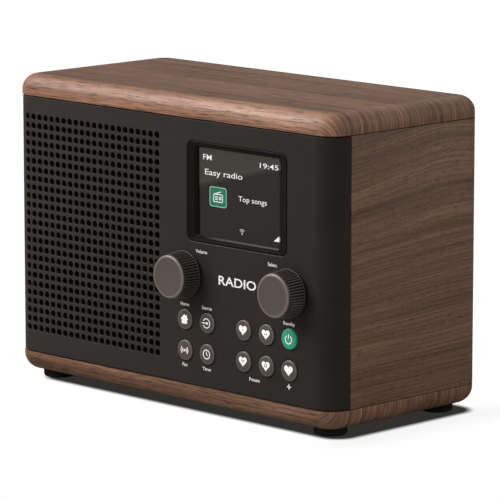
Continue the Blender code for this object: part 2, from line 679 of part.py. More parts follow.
for s, side in ((-1, "left"), (1, "right")):
    for i, z in enumerate(COVER_SCREW_Z):
        turned(
            f"cover_screw_{side}_{i + 1}",
            [(0, 1.75 * MM), (2.0 * MM, 1.75 * MM), (3.0 * MM, 0.9 * MM), (3.0 * MM, 0.15 * MM),
             (1.45 * MM, 0.15 * MM), (1.45 * MM, -13 * MM), (0, -14.2 * MM)],
            (s * COVER_SCREW_X, COVER_BACK, z), "+Y", 10, STEEL,
        )

# ---------------------------------------------------------------- main board, sockets
main_board = box("main_board", 19 * MM, 87 * MM, MAIN_Y0, MAIN_Y1, 20 * MM, 96 * MM, BOARD_GREEN)
boolean_group(
    main_board,
    group("main_board_parts", [
        box("main_ribbon_header", 38 * MM, 56 * MM, MAIN_Y0 - 4 * MM, MAIN_Y0 + 1 * MM,
            67 * MM, 73 * MM, collection=cutters),
        box("speaker_header", 23 * MM, 30 * MM, MAIN_Y0 - 5 * MM, MAIN_Y0 + 1 * MM,
            78 * MM, 84 * MM, collection=cutters),
        box("receiver_can", 58 * MM, 78 * MM, MAIN_Y0 - 3 * MM, MAIN_Y0 + 1 * MM,
            48 * MM, 80 * MM, collection=cutters),
        rod("capacitor_a", 4 * MM, 12 * MM, (32 * MM, MAIN_Y0 + 1 * MM, 40 * MM), "-Y", 12,
            collection=cutters),
        rod("capacitor_b", 4 * MM, 12 * MM, (44 * MM, MAIN_Y0 + 1 * MM, 40 * MM), "-Y", 12,
            collection=cutters),
    ]),
    "UNION",
)
boolean_group(
    main_board,
    group("main_board_holes", [
        rod(f"main_stake_{i}", 1.6 * MM, 6 * MM, (x, MAIN_Y0 - 2 * MM, z), "+Y", 12,
            collection=cutters)
        for i, (x, z) in enumerate(main_stakes)
    ]),
    "DIFFERENCE",
)

dc_socket = rounded_plate("dc_socket", DC_X - 4.6 * MM, DC_X + 4.6 * MM, MAIN_Y1 + GAP,
                          COVER_BACK - 0.3 * MM, SOCKET_Z - 5.6 * MM, SOCKET_Z + 5.6 * MM,
                          1, 0.8 * MM, 2, SOCKET_BLACK)
cut(dc_socket, turned(
    "dc_barrel",
    [(0, 4 * MM), (3.2 * MM, 4 * MM), (3.2 * MM, -9 * MM), (1.0 * MM, -9 * MM),
     (1.0 * MM, -0.8 * MM), (0, -0.8 * MM)],
    (DC_X, COVER_BACK - 0.3 * MM, SOCKET_Z), "+Y", 16, collection=cutters))
headphone_socket = box("headphone_socket", JACK_X - 3.6 * MM, JACK_X + 3.6 * MM,
                       MAIN_Y1 + GAP, COVER_FRONT - 0.8 * MM,
                       SOCKET_Z - 3.6 * MM, SOCKET_Z + 3.6 * MM, SOCKET_BLACK)
join(headphone_socket, rod("jack_nose", 3.4 * MM, 5 * MM, (JACK_X, COVER_FRONT - 2 * MM, SOCKET_Z),
                           "+Y", 16, collection=cutters))
cut(headphone_socket, rod("jack_bore", 1.8 * MM, 14 * MM,
                          (JACK_X, COVER_BACK + 3 * MM, SOCKET_Z), "-Y", 12, collection=cutters))

# Flat ribbon between the two boards, with a little slack that hangs down.
y0, y1 = BOARD_FRONT + BOARD_T + 4 * MM + GAP, MAIN_Y0 - 4 * MM - GAP
bm = bmesh.new()
steps = 12
rail = []
for i in range(steps + 1):
    t = i / steps
    rail.append(bm.verts.new((39 * MM, y0 + (y1 - y0) * t,
                              70 * MM - 9 * MM * math.sin(math.pi * t) ** 2)))
sweep = bmesh.ops.extrude_edge_only(
    bm, edges=[bm.edges.new(pair) for pair in zip(rail, rail[1:])]
)["geom"]
bmesh.ops.translate(bm, vec=(16 * MM, 0, 0),
                    verts=[g for g in sweep if isinstance(g, bmesh.types.BMVert)])
mesh = bpy.data.meshes.new("ribbon_cable")
bm.to_mesh(mesh)
bm.free()
ribbon_cable = place(bpy.data.objects.new("ribbon_cable", mesh), CABLE_GREY)
ribbon_cable.modifiers.new("thickness", "SOLIDIFY").thickness = 0.8 * MM
ribbon_cable.modifiers["thickness"].offset = 0.0


def bezier(points, steps):
    """Points along one Bezier curve, by repeated interpolation."""
    out = []
    for i in range(steps + 1):
        level = [Vector(p) for p in points]
        while len(level) > 1:
            level = [a.lerp(b, i / steps) for a, b in zip(level, level[1:])]
        out.append(level[0])
    return out


lead_start = Vector((SPEAKER_X + 21.0 * MM + 1.6 * MM, SPEAKER_Y + 25 * MM, SPEAKER_Z))
lead_end = Vector((26.5 * MM, MAIN_Y0 - 5 * MM - GAP, 81 * MM))
curve = bpy.data.curves.new("speaker_lead", "CURVE")
curve.dimensions = "3D"
curve.bevel_depth = 1.2 * MM
curve.bevel_resolution = 2
curve.use_fill_caps = True
spline = curve.splines.new("POLY")
route = bezier(
    [lead_start, lead_start + Vector((12 * MM, 0, 0)), lead_start + Vector((22 * MM, 0, -18 * MM)),
     lead_end + Vector((0, -24 * MM, -14 * MM)), lead_end + Vector((0, -8 * MM, 0)), lead_end], 10,
)
spline.points.add(len(route) - 1)
for point, co in zip(spline.points, route):
    point.co = (*co, 1.0)
place(bpy.data.objects.new("speaker_lead", curve), CABLE_GREY)

# ---------------------------------------------------------------- aerial
# Base plate on the cover, a head that swivels about Y, a joint that tilts about the
# pin, and four sections that slide out of each other. Folded, it lies along -X.
base = turned(
    "antenna_base",
    [(0, 1.2 * MM), (4.4 * MM, 1.2 * MM), (4.4 * MM, 0.9 * MM), (6.8 * MM, 0.9 * MM),
     (7.2 * MM, 0.3 * MM), (2.7 * MM, 0.3 * MM), (2.7 * MM, -COVER_T - 3 * MM),
     (0, -COVER_T - 3 * MM)],
    (AERIAL_X, COVER_BACK, AERIAL_Z), "+Y", 20, SOCKET_BLACK,
)
head = rod("antenna_swivel", 4.5 * MM, 0.9 * MM, (AERIAL_X, COVER_BACK + 1.5 * MM, AERIAL_Z),
           "+Y", 20, CHROME)
for i, side in enumerate((-1, 1)):
    ear = rounded_plate(
        f"swivel_ear_{i}", AERIAL_X - 4 * MM, AERIAL_X + 4 * MM,
        COVER_BACK + 1.8 * MM, R + AERIAL_OUT,
        AERIAL_Z + (side * 3.1 - 0.9) * MM, AERIAL_Z + (side * 3.1 + 0.9) * MM,
        2, 3.2 * MM, 3, collection=cutters,
    )
    join(head, ear)
cut(head, rod("swivel_pin_bore", 1.15 * MM, 12 * MM, (AERIAL_X, AERIAL_Y, AERIAL_Z - 6 * MM),
              "+Z", 12, collection=cutters))
rod("antenna_pin", 0.95 * MM, 8.0 * MM, (AERIAL_X, AERIAL_Y, AERIAL_Z - 4 * MM), "+Z", 12, STEEL)

SOCKET_END = AERIAL_X - 12 * MM       # where the joint piece meets the tubes
knuckle = rod("antenna_joint", 3.2 * MM, 5.5 * MM, (AERIAL_X - 6.5 * MM, AERIAL_Y, AERIAL_Z),
              "-X", 16, CHROME)
tongue = rounded_plate(
    "joint_tongue", AERIAL_X - 8 * MM, AERIAL_X + 3.3 * MM, AERIAL_Y - 3.3 * MM,
    AERIAL_Y + 3.3 * MM, AERIAL_Z - 1.8 * MM, AERIAL_Z + 1.8 * MM, 2, 3.2 * MM, 3,
    collection=cutters,
)
join(knuckle, tongue)
cut(knuckle, rod("joint_pin_bore", 1.15 * MM, 12 * MM, (AERIAL_X, AERIAL_Y, AERIAL_Z - 6 * MM),
                 "+Z", 12, collection=cutters))


def tube(name, outer, inner, x0, x1, mat=CHROME):
    return turned(
        name,
        [(outer * MM, x1), (outer * MM, x0), (inner * MM, x0), (inner * MM, x1)],
        (SOCKET_END - GAP, AERIAL_Y, AERIAL_Z), "-X", 12, mat, ring=True,
    )


tube("antenna_section_1", 3.2, 2.75, 0, AERIAL_L)
tube("antenna_section_2", 2.55, 2.1, 1.5 * MM, AERIAL_L + 1.2 * MM)
tube("antenna_section_3", 1.9, 1.45, 3 * MM, AERIAL_L + 2.4 * MM)
turned(
    "antenna_section_4",
    [(0, AERIAL_L + 8.4 * MM), (2.2 * MM, AERIAL_L + 8.4 * MM), (3.1 * MM, AERIAL_L + 7.4 * MM),
     (3.1 * MM, AERIAL_L + 4.0 * MM), (2.4 * MM, AERIAL_L + 3.0 * MM), (1.25 * MM, AERIAL_L + 3.0 * MM),
     (1.25 * MM, 4.5 * MM), (0, 4.5 * MM)],
    (SOCKET_END - GAP, AERIAL_Y, AERIAL_Z), "-X", 12, CHROME,
)
# Rest that the folded aerial lies in, open above and behind.
clip_x = AERIAL_X - 118 * MM
clip = box("antenna_clip", clip_x - 4 * MM, clip_x + 4 * MM, COVER_BACK + GAP, R + 7.0 * MM,
           AERIAL_Z - 6.0 * MM, AERIAL_Z - 3.2 * MM - GAP, COVER_BLACK)
clip.modifiers.new("edges", "BEVEL").width = 0.6 * MM
clip.modifiers["edges"].segments = 2
clip.modifiers["edges"].limit_method = "ANGLE"
join(clip, rounded_plate("clip_foot", clip_x - 6.5 * MM, clip_x + 6.5 * MM, COVER_BACK + GAP,
                         COVER_BACK + 1.6 * MM, AERIAL_Z - 10 * MM, AERIAL_Z + 4 * MM, 1,
                         2 * MM, 3, collection=cutters))
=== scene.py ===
import math

import bmesh
import bpy
from mathutils import Matrix, Vector, geometry


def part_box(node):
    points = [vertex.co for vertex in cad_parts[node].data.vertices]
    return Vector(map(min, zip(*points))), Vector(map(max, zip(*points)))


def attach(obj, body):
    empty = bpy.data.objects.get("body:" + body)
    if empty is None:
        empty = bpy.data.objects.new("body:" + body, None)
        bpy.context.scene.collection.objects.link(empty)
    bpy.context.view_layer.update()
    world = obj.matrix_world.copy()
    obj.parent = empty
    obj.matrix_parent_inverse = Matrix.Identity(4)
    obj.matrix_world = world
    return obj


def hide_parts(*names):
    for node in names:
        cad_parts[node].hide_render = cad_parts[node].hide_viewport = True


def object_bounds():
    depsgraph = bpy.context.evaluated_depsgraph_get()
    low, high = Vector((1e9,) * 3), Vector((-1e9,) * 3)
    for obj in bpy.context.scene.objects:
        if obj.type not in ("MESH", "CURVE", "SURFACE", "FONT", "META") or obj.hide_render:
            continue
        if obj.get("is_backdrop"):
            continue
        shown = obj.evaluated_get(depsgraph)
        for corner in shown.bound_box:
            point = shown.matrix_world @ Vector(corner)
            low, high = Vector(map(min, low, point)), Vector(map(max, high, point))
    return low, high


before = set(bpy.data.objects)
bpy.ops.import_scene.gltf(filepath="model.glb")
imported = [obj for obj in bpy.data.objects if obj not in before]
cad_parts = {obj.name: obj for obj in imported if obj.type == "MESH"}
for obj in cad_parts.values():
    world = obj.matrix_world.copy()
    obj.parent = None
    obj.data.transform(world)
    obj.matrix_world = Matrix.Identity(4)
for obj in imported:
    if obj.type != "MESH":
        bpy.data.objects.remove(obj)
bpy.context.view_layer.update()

MM = 0.001


# ------------------------------------------------------------------ places, in mm
def mm_box(node):
    lo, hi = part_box(node)
    return [c / MM for c in lo], [c / MM for c in hi]


def middle(node):
    lo, hi = mm_box(node)
    return [(a + b) / 2 for a, b in zip(lo, hi)]


(_, F, TOP_Z0), (HALF, R, TOP_Z) = mm_box("top_panel")      # wood: front and rear planes
(_, _, BASE_Z), (_, _, BASE_Z1) = mm_box("bottom_panel")
(_, SKIN, FZ0), (_, _, FZ1) = mm_box("front_fascia")
SKIN_T = 3.0
CORNER = 12.0
BUTTONS = ("home", "source", "pair", "timer", "preset_1", "preset_2", "preset_3", "preset_4",
           "standby", "favourite")
SCREWS = [f"cover_screw_{side}_{i}" for side in ("left", "right") for i in (1, 2, 3)]
SPEAKER_X, _, SPEAKER_Z = middle("speaker_cone")
SPEAKER_Y = mm_box("speaker_frame")[0][1]
COVER_Y0 = mm_box("rear_cover")[1][1] - 3.0
COVER_Y = mm_box("rear_cover")[1][1]
AERIAL_X, _, AERIAL_Z = middle("antenna_base")
AERIAL_Y = middle("antenna_section_1")[1]
DC_X, _, SOCKET_Z = middle("dc_socket")
JACK_X = middle("headphone_socket")[0]
DISPLAY_X, _, DISPLAY_Z = middle("display_bezel")
SCREEN_W, SCREEN_H = 53.4, 41.9
OPEN_W, OPEN_H = 66.0, 48.0


# ------------------------------------------------------------------ materials
def srgb(*rgb):
    return tuple(c / 12.92 if c <= 0.04045 else ((c + 0.055) / 1.055) ** 2.4
                 for c in (v / 255 for v in rgb))


class Nodes:
    """A short way to write a material's node tree."""

    def __init__(self, name):
        self.mat = bpy.data.materials.new(name)
        self.mat.use_nodes = True
        self.tree = self.mat.node_tree
        self.shader = self.tree.nodes["Principled BSDF"]

    def node(self, kind, inputs=None, **settings):
        n = self.tree.nodes.new(kind)
        for key, value in settings.items():
            setattr(n, key, value)
        for key, value in (inputs or {}).items():
            self.put(n.inputs[key], value)
        return n

    def put(self, socket, value):
        if isinstance(value, bpy.types.NodeSocket):
            self.tree.links.new(value, socket)
        elif isinstance(value, tuple) and len(value) == 3 and socket.type == "RGBA":
            socket.default_value = (*value, 1.0)
        else:
            socket.default_value = value

    def set(self, **values):
        names = {"base": "Base Color", "rough": "Roughness", "metal": "Metallic",
                 "spec": "Specular IOR Level", "coat": "Coat Weight",
                 "coat_rough": "Coat Roughness", "ior": "IOR", "glow": "Emission Color",
                 "glow_by": "Emission Strength", "sheen": "Sheen Weight", "normal": "Normal",
                 "aniso": "Anisotropic"}
        for key, value in values.items():
            self.put(self.shader.inputs[names[key]], value)
        return self.mat

    def math(self, operation, a, b=0.0, c=0.0, clamp=False):
        n = self.node("ShaderNodeMath", operation=operation, use_clamp=clamp)
        for i, value in enumerate((a, b, c)):
            self.put(n.inputs[i], value)
        return n.outputs[0]

    def object_space(self, scale=(1, 1, 1), turn=(0, 0, 0)):
        coord = self.node("ShaderNodeTexCoord")
        return self.node("ShaderNodeMapping", {"Vector": coord.outputs["Object"],
                                               "Scale": scale, "Rotation": turn}).outputs[0]

    def noise(self, vector, scale, detail=3.0, rough=0.5, distortion=0.0):
        n = self.node("ShaderNodeTexNoise",
                      {"Vector": vector, "Scale": scale, "Detail": detail, "Roughness": rough,
                       "Distortion": distortion})
        return n.outputs["Fac"]

    def ramp(self, fac, *stops, ease=False):
        n = self.node("ShaderNodeValToRGB", {"Fac": fac})
        n.color_ramp.interpolation = "EASE" if ease else "LINEAR"
        while len(n.color_ramp.elements) < len(stops):
            n.color_ramp.elements.new(0.5)
        for element, (at, colour) in zip(n.color_ramp.elements, stops):
            element.position = at
            colour = (colour,) * 3 if isinstance(colour, (int, float)) else colour
            element.color = (*colour, 1.0)
        return n.outputs["Color"]

    def mix(self, fac, a, b, blend="MIX"):
        n = self.node("ShaderNodeMix", data_type="RGBA", blend_type=blend)
        self.put(n.inputs[0], fac)
        self.put(n.inputs[6], a)
        self.put(n.inputs[7], b)
        return n.outputs[2]

    def span(self, value, low, high, from_low=0.0, from_high=1.0):
        n = self.node("ShaderNodeMapRange",
                      {"Value": value, "From Min": from_low, "From Max": from_high,
                       "To Min": low, "To Max": high})
        return n.outputs["Result"]

    def bump(self, height, distance, strength=1.0, after=None):
        inputs = {"Height": height, "Distance": distance, "Strength": strength}
        if after is not None:
            inputs["Normal"] = after
        return self.node("ShaderNodeBump", inputs).outputs["Normal"]


def plastic(name, colour, rough, grain=0.00018, depth=0.000012, spread=0.12, spec=0.5, coat=0.0, fade=None):
    """Moulded plastic: a fine spark texture, with colour and gloss that vary a little; with fade, painted shade from
    one end to the other.
    """
    m = Nodes(name)
    where = m.object_space()
    cloud = m.noise(where, 55.0, 4.0, 0.6)
    fine = m.noise(where, 1.0 / grain, 2.0, 0.6)
    base = m.mix(cloud, tuple(c * (1 - spread) for c in colour),
                 tuple(c * (1 + spread) for c in colour))
    base = m.mix(m.span(fine, 0.0, 0.35), base, tuple(c * 0.72 for c in colour))
    if fade:
        # Painted shade: the colour is made lighter towards the left end and darker towards the right, standing in for
        # the lamp's falloff across the moulding.
        across = m.node("ShaderNodeSeparateXYZ", {"Vector": where}).outputs[0]
        base = m.mix(m.span(across, 0.0, 1.0, -0.1, 0.109), m.mix(1.0, base, (fade[0],) * 3, "MULTIPLY"),
                     m.mix(1.0, base, (fade[1],) * 3, "MULTIPLY"))
    m.set(base=base, rough=m.span(m.math("ADD", cloud, m.math("MULTIPLY", fine, 0.6)),
                                  rough - 0.06, rough + 0.07, 0.3, 1.2),
          spec=spec, normal=m.bump(fine, depth))
    if coat:
        m.set(coat=coat, coat_rough=0.12)
    return m.mat


def metal(name, colour, rough, along=(1, 1, 1), depth=0.000004, scale=900.0):
    """Metal with fine marks drawn out along one direction."""
    m = Nodes(name)
    marks = m.noise(m.object_space(along), scale, 3.0, 0.65)
    cloud = m.noise(m.object_space(), 70.0, 3.0, 0.5)
    m.set(base=m.mix(cloud, tuple(c * 0.90 for c in colour), tuple(min(1, c * 1.06) for c in colour)),
          metal=1.0, rough=m.span(m.math("ADD", marks, cloud), rough * 0.75, rough * 1.35, 0.6, 1.4),
          normal=m.bump(marks, depth))
    return m.mat


def walnut(name, arch=False, tint=(1.0, 1.0, 1.0), edge=False):
    """Oiled walnut veneer. The UV map holds metres: U along the grain, V across it."""
    m = Nodes(name)
    uv = m.node("ShaderNodeUVMap", uv_map="Grain").outputs[0]
    split = m.node("ShaderNodeSeparateXYZ", {"Vector": uv})
    u, v = split.outputs[0], split.outputs[1]

    def streaks(along, across, detail, rough=0.55, distortion=0.0, at=(0.0, 0.0)):
        point = m.node("ShaderNodeCombineXYZ",
                       {"X": m.math("MULTIPLY_ADD", u, along, at[0]),
                        "Y": m.math("MULTIPLY_ADD", v, across, at[1])}).outputs[0]
        return m.noise(point, 1.0, detail, rough, distortion)

    drift = streaks(7.0, 18.0, 2.0, 0.5)
    if arch:
        # The figure rises towards the back, more in the upper half, and bends over in a
        # faint arch near the rear.
        rise = m.math("MULTIPLY", m.math("ADD", u, 0.05), m.span(v, 0.02, 0.15, 0.03, 0.13))
        bent = m.math("MULTIPLY", m.math("POWER", m.math("MAXIMUM", m.math("ADD", u, -0.010), 0.0), 2.0), 5.0)
        v = m.math("ADD", m.math("SUBTRACT", v, rise), m.math("MULTIPLY", bent, m.span(v, 0.0, 1.0, 0.05, 0.14)))
    v = m.math("ADD", v, m.math("MULTIPLY", m.math("SUBTRACT", drift, 0.5), 0.007 if arch else 0.005))

    bands = streaks(3.5, 42.0, 2.0, 0.5, 0.1)
    figure = streaks(3.6 if arch else 5.0, 190.0, 4.0, 0.62, 0.1 if arch else 0.2)
    threads = streaks(*((9.0, 560.0) if arch else (14.0, 640.0)), 3.0, 0.6, 0.0, (3.0, 7.0))
    fibre = streaks(*((14.0, 1250.0) if arch else (34.0, 1500.0)), 2.0, 0.6, 0.0, (5.0, 1.0))
    dashes = streaks(*((230.0, 2300.0) if arch else (90.0, 1350.0)), 1.0, 0.5, 0.0, (9.0, 4.0))
    pores = streaks(230.0, 2700.0, 2.0, 0.5)

    tone = m.math("MULTIPLY_ADD", figure, 0.50, m.math("MULTIPLY", bands, 0.50))
    dark, mid, light = WOOD_SIDE if arch else WOOD_TOP
    base = m.ramp(tone, (0.36, dark), (0.49, mid), (0.64, light))
    red = streaks(11.0, 30.0, 2.0, 0.5, 0.0, (1.0, 8.0))
    base = m.mix(m.span(red, 0.0, 0.30, 0.52, 0.72), base, m.mix(1.0, base, (1.12, 0.93, 0.86), "MULTIPLY"))
    base = m.mix(m.span(threads, 0.0, 0.50 if arch else 0.85, 0.40, 0.62), base, m.mix(1.0, base, (0.62, 0.58, 0.55), "MULTIPLY"))
    base = m.mix(m.span(fibre, 0.0, 0.80 if arch else 0.55, 0.42 if arch else 0.40, 0.60 if arch else 0.62), base, m.mix(1.0, base, (0.62, 0.58, 0.55), "MULTIPLY"))
    base = m.mix(m.span(dashes, 0.0, 0.42 if arch else 0.92, 0.50 if arch else 0.54, 0.64 if arch else 0.66), base, m.mix(1.0, base, (0.40, 0.36, 0.33), "MULTIPLY"))
    pore = m.span(pores, 0.0, 1.0, 0.58, 0.70)
    base = m.mix(m.math("MULTIPLY", pore, 0.60), base, m.mix(1.0, base, (0.34, 0.29, 0.27), "MULTIPLY"))
    if not arch:
        # Over the rounded ends the cut fibres show as fine upright lines, paler overall.
        place = m.node("ShaderNodeSeparateXYZ", {"Vector": m.object_space()})
        end = m.span(m.math("ABSOLUTE", place.outputs[0]), 0.0, 1.0, 0.0980, 0.1060)
        base = m.mix(m.math("MULTIPLY", end, 0.65), base, tuple(c * 0.62 for c in mid))
        base = m.mix(end, base, m.mix(1.0, base, (1.66, 1.72, 1.80), "MULTIPLY"))
        cut = m.span(streaks(24.0, 1500.0, 2.0, 0.6, 0.0, (2.0, 2.0)), 0.0, 1.0, 0.45, 0.57)
        base = m.mix(m.math("MULTIPLY", end, cut), base, m.mix(1.0, base, (0.50, 0.46, 0.43), "MULTIPLY"))
        pale = m.span(streaks(26.0, 1150.0, 2.0, 0.6, 0.0, (6.0, 3.0)), 0.0, 0.8, 0.52, 0.64)
        base = m.mix(m.math("MULTIPLY", end, pale), base, m.mix(1.0, base, (1.45, 1.45, 1.45), "MULTIPLY"))
        if edge:
            # Painted highlight: the rounded front edge is made paler, standing in for the lamp's highlight along it.
            front = m.span(place.outputs[1], 1.0, 0.0, F * MM + 0.0045, F * MM + 0.0090)
            base = m.mix(front, base, m.mix(1.0, base, (1.74, 1.74, 1.90), "MULTIPLY"))
    base = m.mix(1.0, base, tint, "MULTIPLY")
    height = m.math("SUBTRACT", m.math("MULTIPLY", fibre, 0.5), pore)
    m.set(base=base, rough=m.span(m.math("ADD", fibre, m.math("MULTIPLY", pore, 0.5)), 0.36, 0.58, 0.3, 1.2),
          spec=0.45, normal=m.bump(height, 0.00006, 0.9))
    return m.mat


WOOD_TOP = (srgb(106, 74, 55), srgb(138, 101, 78), srgb(165, 126, 100))
WOOD_SIDE = (srgb(122, 92, 73), srgb(144, 112, 90), srgb(163, 129, 105))
# edge=True paints a highlight along the top slab's rounded front edge.
WALNUT_TOP = walnut("walnut_top", edge=True)
WALNUT_BASE = walnut("walnut_base", tint=(1.10, 1.12, 1.14))
WALNUT_SIDE = walnut("walnut_side", arch=True)

# The fascia's fade is painted shade: its colour is multiplied by 1.16 at the left end, falling to 0.84 at the right.
CHARCOAL = plastic("charcoal_moulding", (0.0350, 0.0287, 0.0247), 0.44, spec=0.27, fade=(1.16, 0.84))
# Near-black: for the hidden posts and flange, and as painted shade on the walls of the grille's holes.
CHARCOAL_INSIDE_SHADE = plastic("charcoal_inside_painted_shade", (0.010, 0.009, 0.009), 0.60)
REAR = plastic("rear_moulding", (0.0400, 0.0370, 0.0345), 0.50, grain=0.00050, depth=0.00005, spread=0.16)
BEZEL = plastic("bezel_gloss_black", (0.0085, 0.0074, 0.0066), 0.24, grain=0.0006, depth=0.000002,
                spread=0.1, spec=0.22)
KNOB = plastic("knob_soft_touch", (0.1150, 0.0930, 0.0810), 0.38, grain=0.00014, depth=0.000008)
# Painted light on the knobs: a pale rim as painted highlight, near-black ridge valleys as painted shade, paler ridge
# crests as painted highlight.
KNOB_RIM_HIGHLIGHT = plastic("knob_rim_painted_highlight", (0.2300, 0.2000, 0.1840), 0.22, grain=0.00014, depth=0.000004)
KNOB_VALLEY_SHADE = plastic("knob_valley_painted_shade", (0.0190, 0.0165, 0.0150), 0.40, grain=0.00014, depth=0.000006)
KNOB_CREST_HIGHLIGHT = plastic("knob_crest_painted_highlight", (0.1050, 0.0890, 0.0820), 0.26, grain=0.00014, depth=0.000006)
CAP = plastic("button_satin", (0.1050, 0.0880, 0.0790), 0.36, grain=0.00014, depth=0.000008)
# Painted highlight: a paler material for the caps' rounded front rim.
CAP_RIM_HIGHLIGHT = plastic("button_rim", (0.1700, 0.1480, 0.1360), 0.28, grain=0.00014, depth=0.000004)
GREEN = plastic("standby_cap_green", srgb(58, 176, 138), 0.42, grain=0.00014, depth=0.000008, spread=0.06)
SOCKET = plastic("socket_black", (0.016, 0.0155, 0.015), 0.42)


def rubber():
    m = Nodes("foot_rubber_black")
    where = m.object_space()
    fine = m.noise(where, 3200.0, 3.0, 0.7)
    dust = m.noise(where, 240.0, 4.0, 0.65)
    m.set(base=m.mix(m.span(dust, 0.0, 0.5, 0.5, 0.8), (0.013, 0.0125, 0.012), (0.040, 0.038, 0.036)),
          rough=m.span(fine, 0.72, 0.92), spec=0.3, normal=m.bump(fine, 0.00003))
    return m.mat


def glass():
    """The display's pane: deep black gloss, with the faint even glow of a lit panel behind and a painted reflection
    across its upper part.
    """
    m = Nodes("display_pane")
    where = m.object_space()
    smear = m.noise(where, 38.0, 3.0, 0.55, 0.6)
    dots = m.noise(where, 5200.0, 1.0)
    place = m.node("ShaderNodeSeparateXYZ", {"Vector": where})
    # Painted reflection: a soft paler field across the upper part, its edge rising to the right, with a brighter line
    # along that edge, put into the panel's glow.
    tilted = m.math("MULTIPLY_ADD", place.outputs[0], -0.257, place.outputs[2])
    painted_reflection_band = m.span(tilted, 0.0, 0.82, 0.1032, 0.1062)
    painted_reflection_line = m.math("SUBTRACT", 1.0, m.span(m.math("ABSOLUTE", m.math("SUBTRACT", tilted, 0.1062)), 0.0, 1.0, 0.0, 0.0012))
    glow = m.math("MULTIPLY_ADD", painted_reflection_line, 0.30, painted_reflection_band)
    m.set(base=m.mix(dots, (0.0120, 0.0125, 0.0120), (0.0150, 0.0152, 0.0148)),
          rough=m.span(smear, 0.035, 0.075, 0.35, 0.7), spec=0.5,
          glow=m.mix(glow, (0.0110, 0.0072, 0.0052), (0.0415, 0.0380, 0.0300)), glow_by=1.0)
    return m.mat


def lit(name, colour, by):
    """A lit part of the picture, with the panel's fine dots."""
    m = Nodes(name)
    dots = m.noise(m.object_space(), 4200.0, 1.0)
    m.set(base=(0.02, 0.02, 0.02), rough=0.3,
          glow=m.mix(dots, tuple(c * 0.9 for c in colour), colour), glow_by=by)
    return m.mat


def printed(name, colour, rough=0.55, by=0.0):
    """Pad-printed ink; where by is over 0 it also glows a little, a painted brightening with no lamp behind it."""
    m = Nodes(name)
    ink = m.noise(m.object_space(), 2600.0, 3.0, 0.6)
    m.set(base=m.mix(ink, tuple(c * 0.80 for c in colour), colour),
          rough=m.span(ink, rough - 0.08, rough + 0.1), normal=m.bump(ink, 0.000004),
          glow=colour, glow_by=by)
    return m.mat


def circuit(name):
    """Green solder mask over tracks, with a fine woven board under it."""
    m = Nodes(name)
    where = m.object_space((1, 0.001, 1))
    tracks = m.node("ShaderNodeTexBrick",
                    {"Vector": m.object_space((1, 1, 1), (math.radians(90), 0, 0)),
                     "Color1": (0.020, 0.135, 0.055), "Color2": (0.014, 0.095, 0.040),
                     "Mortar": (0.045, 0.21, 0.09), "Scale": 160.0, "Mortar Size": 0.03})
    weave = m.noise(where, 1500.0, 2.0)
    m.set(base=m.mix(m.span(weave, 0.0, 0.3), tracks.outputs["Color"], (0.01, 0.06, 0.03)),
          rough=m.span(weave, 0.28, 0.45), spec=0.5, normal=m.bump(tracks.outputs["Fac"], 0.00003))
    return m.mat


def paper(name, colour):
    m = Nodes(name)
    where = m.object_space()
    fibre = m.noise(where, 900.0, 4.0, 0.7, 0.8)
    m.set(base=m.mix(fibre, tuple(c * 0.7 for c in colour), tuple(c * 1.3 for c in colour)),
          rough=m.span(fibre, 0.75, 0.95), spec=0.2, normal=m.bump(fibre, 0.00006))
    return m.mat


def ribbon(name):
    """Grey flat cable: a row of cores side by side."""
    m = Nodes(name)
    x = m.node("ShaderNodeSeparateXYZ", {"Vector": m.object_space()}).outputs[0]
    cores = m.math("SINE", m.math("MULTIPLY", x, 2 * math.pi / 0.00127))
    fine = m.noise(m.object_space(), 700.0, 2.0)
    base = m.mix(m.span(cores, 0.0, 1.0, -1.0, 1.0), (0.17, 0.17, 0.175), (0.34, 0.34, 0.35))
    m.set(base=base, rough=m.span(fine, 0.45, 0.62), normal=m.bump(cores, 0.00012))
    return m.mat


RUBBER = rubber()
PANE = glass()
WHITE_LIT = lit("screen_white", (0.97, 0.98, 0.96), 0.92)
GREY_LIT = lit("screen_grey", (0.78, 0.82, 0.80), 0.62)
GREEN_LIT = lit("screen_green", srgb(34, 118, 90), 0.85)
MINT_LIT = lit("screen_mint", srgb(150, 222, 195), 0.80)
# These inks glow a little: painted light, as the print has no lamp behind it.
INK = printed("label_ink", (0.86, 0.85, 0.83), by=0.25)
INK_BRIGHT = printed("mark_ink", (0.88, 0.87, 0.85), by=0.22)
ICON_INK = printed("icon_ink", (0.90, 0.88, 0.86), 0.5, by=0.42)
STEEL = metal("zinc_plate", (0.56, 0.56, 0.57), 0.32, (1, 1, 6), scale=500.0)
BRASS = metal("contact_nickel", (0.62, 0.58, 0.50), 0.25, (1, 6, 1))
CHROME = metal("aerial_bright", (0.78, 0.78, 0.79), 0.13, (0.03, 1, 1), depth=0.0000015, scale=1800.0)
FERRITE = plastic("magnet_grey", (0.050, 0.050, 0.055), 0.62, grain=0.0006, depth=0.00005, spread=0.25)
PAPER = paper("cone_paper", (0.020, 0.020, 0.020))
PCB = circuit("board_green")
RIBBON = ribbon("ribbon_grey")
LEAD = plastic("lead_grey", (0.25, 0.25, 0.26), 0.55, grain=0.0005, depth=0.00002)

for node, mat in {
    "control_board": PCB, "main_board": PCB, "display_module": STEEL, "ribbon_cable": RIBBON,
    "speaker_lead": LEAD, "volume_encoder": STEEL, "select_encoder": STEEL,
    "volume_rotor": SOCKET, "select_rotor": SOCKET, "volume_shaft": STEEL, "select_shaft": STEEL,
}.items():
    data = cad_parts[node].data
    data.materials.clear()
    data.materials.append(mat)


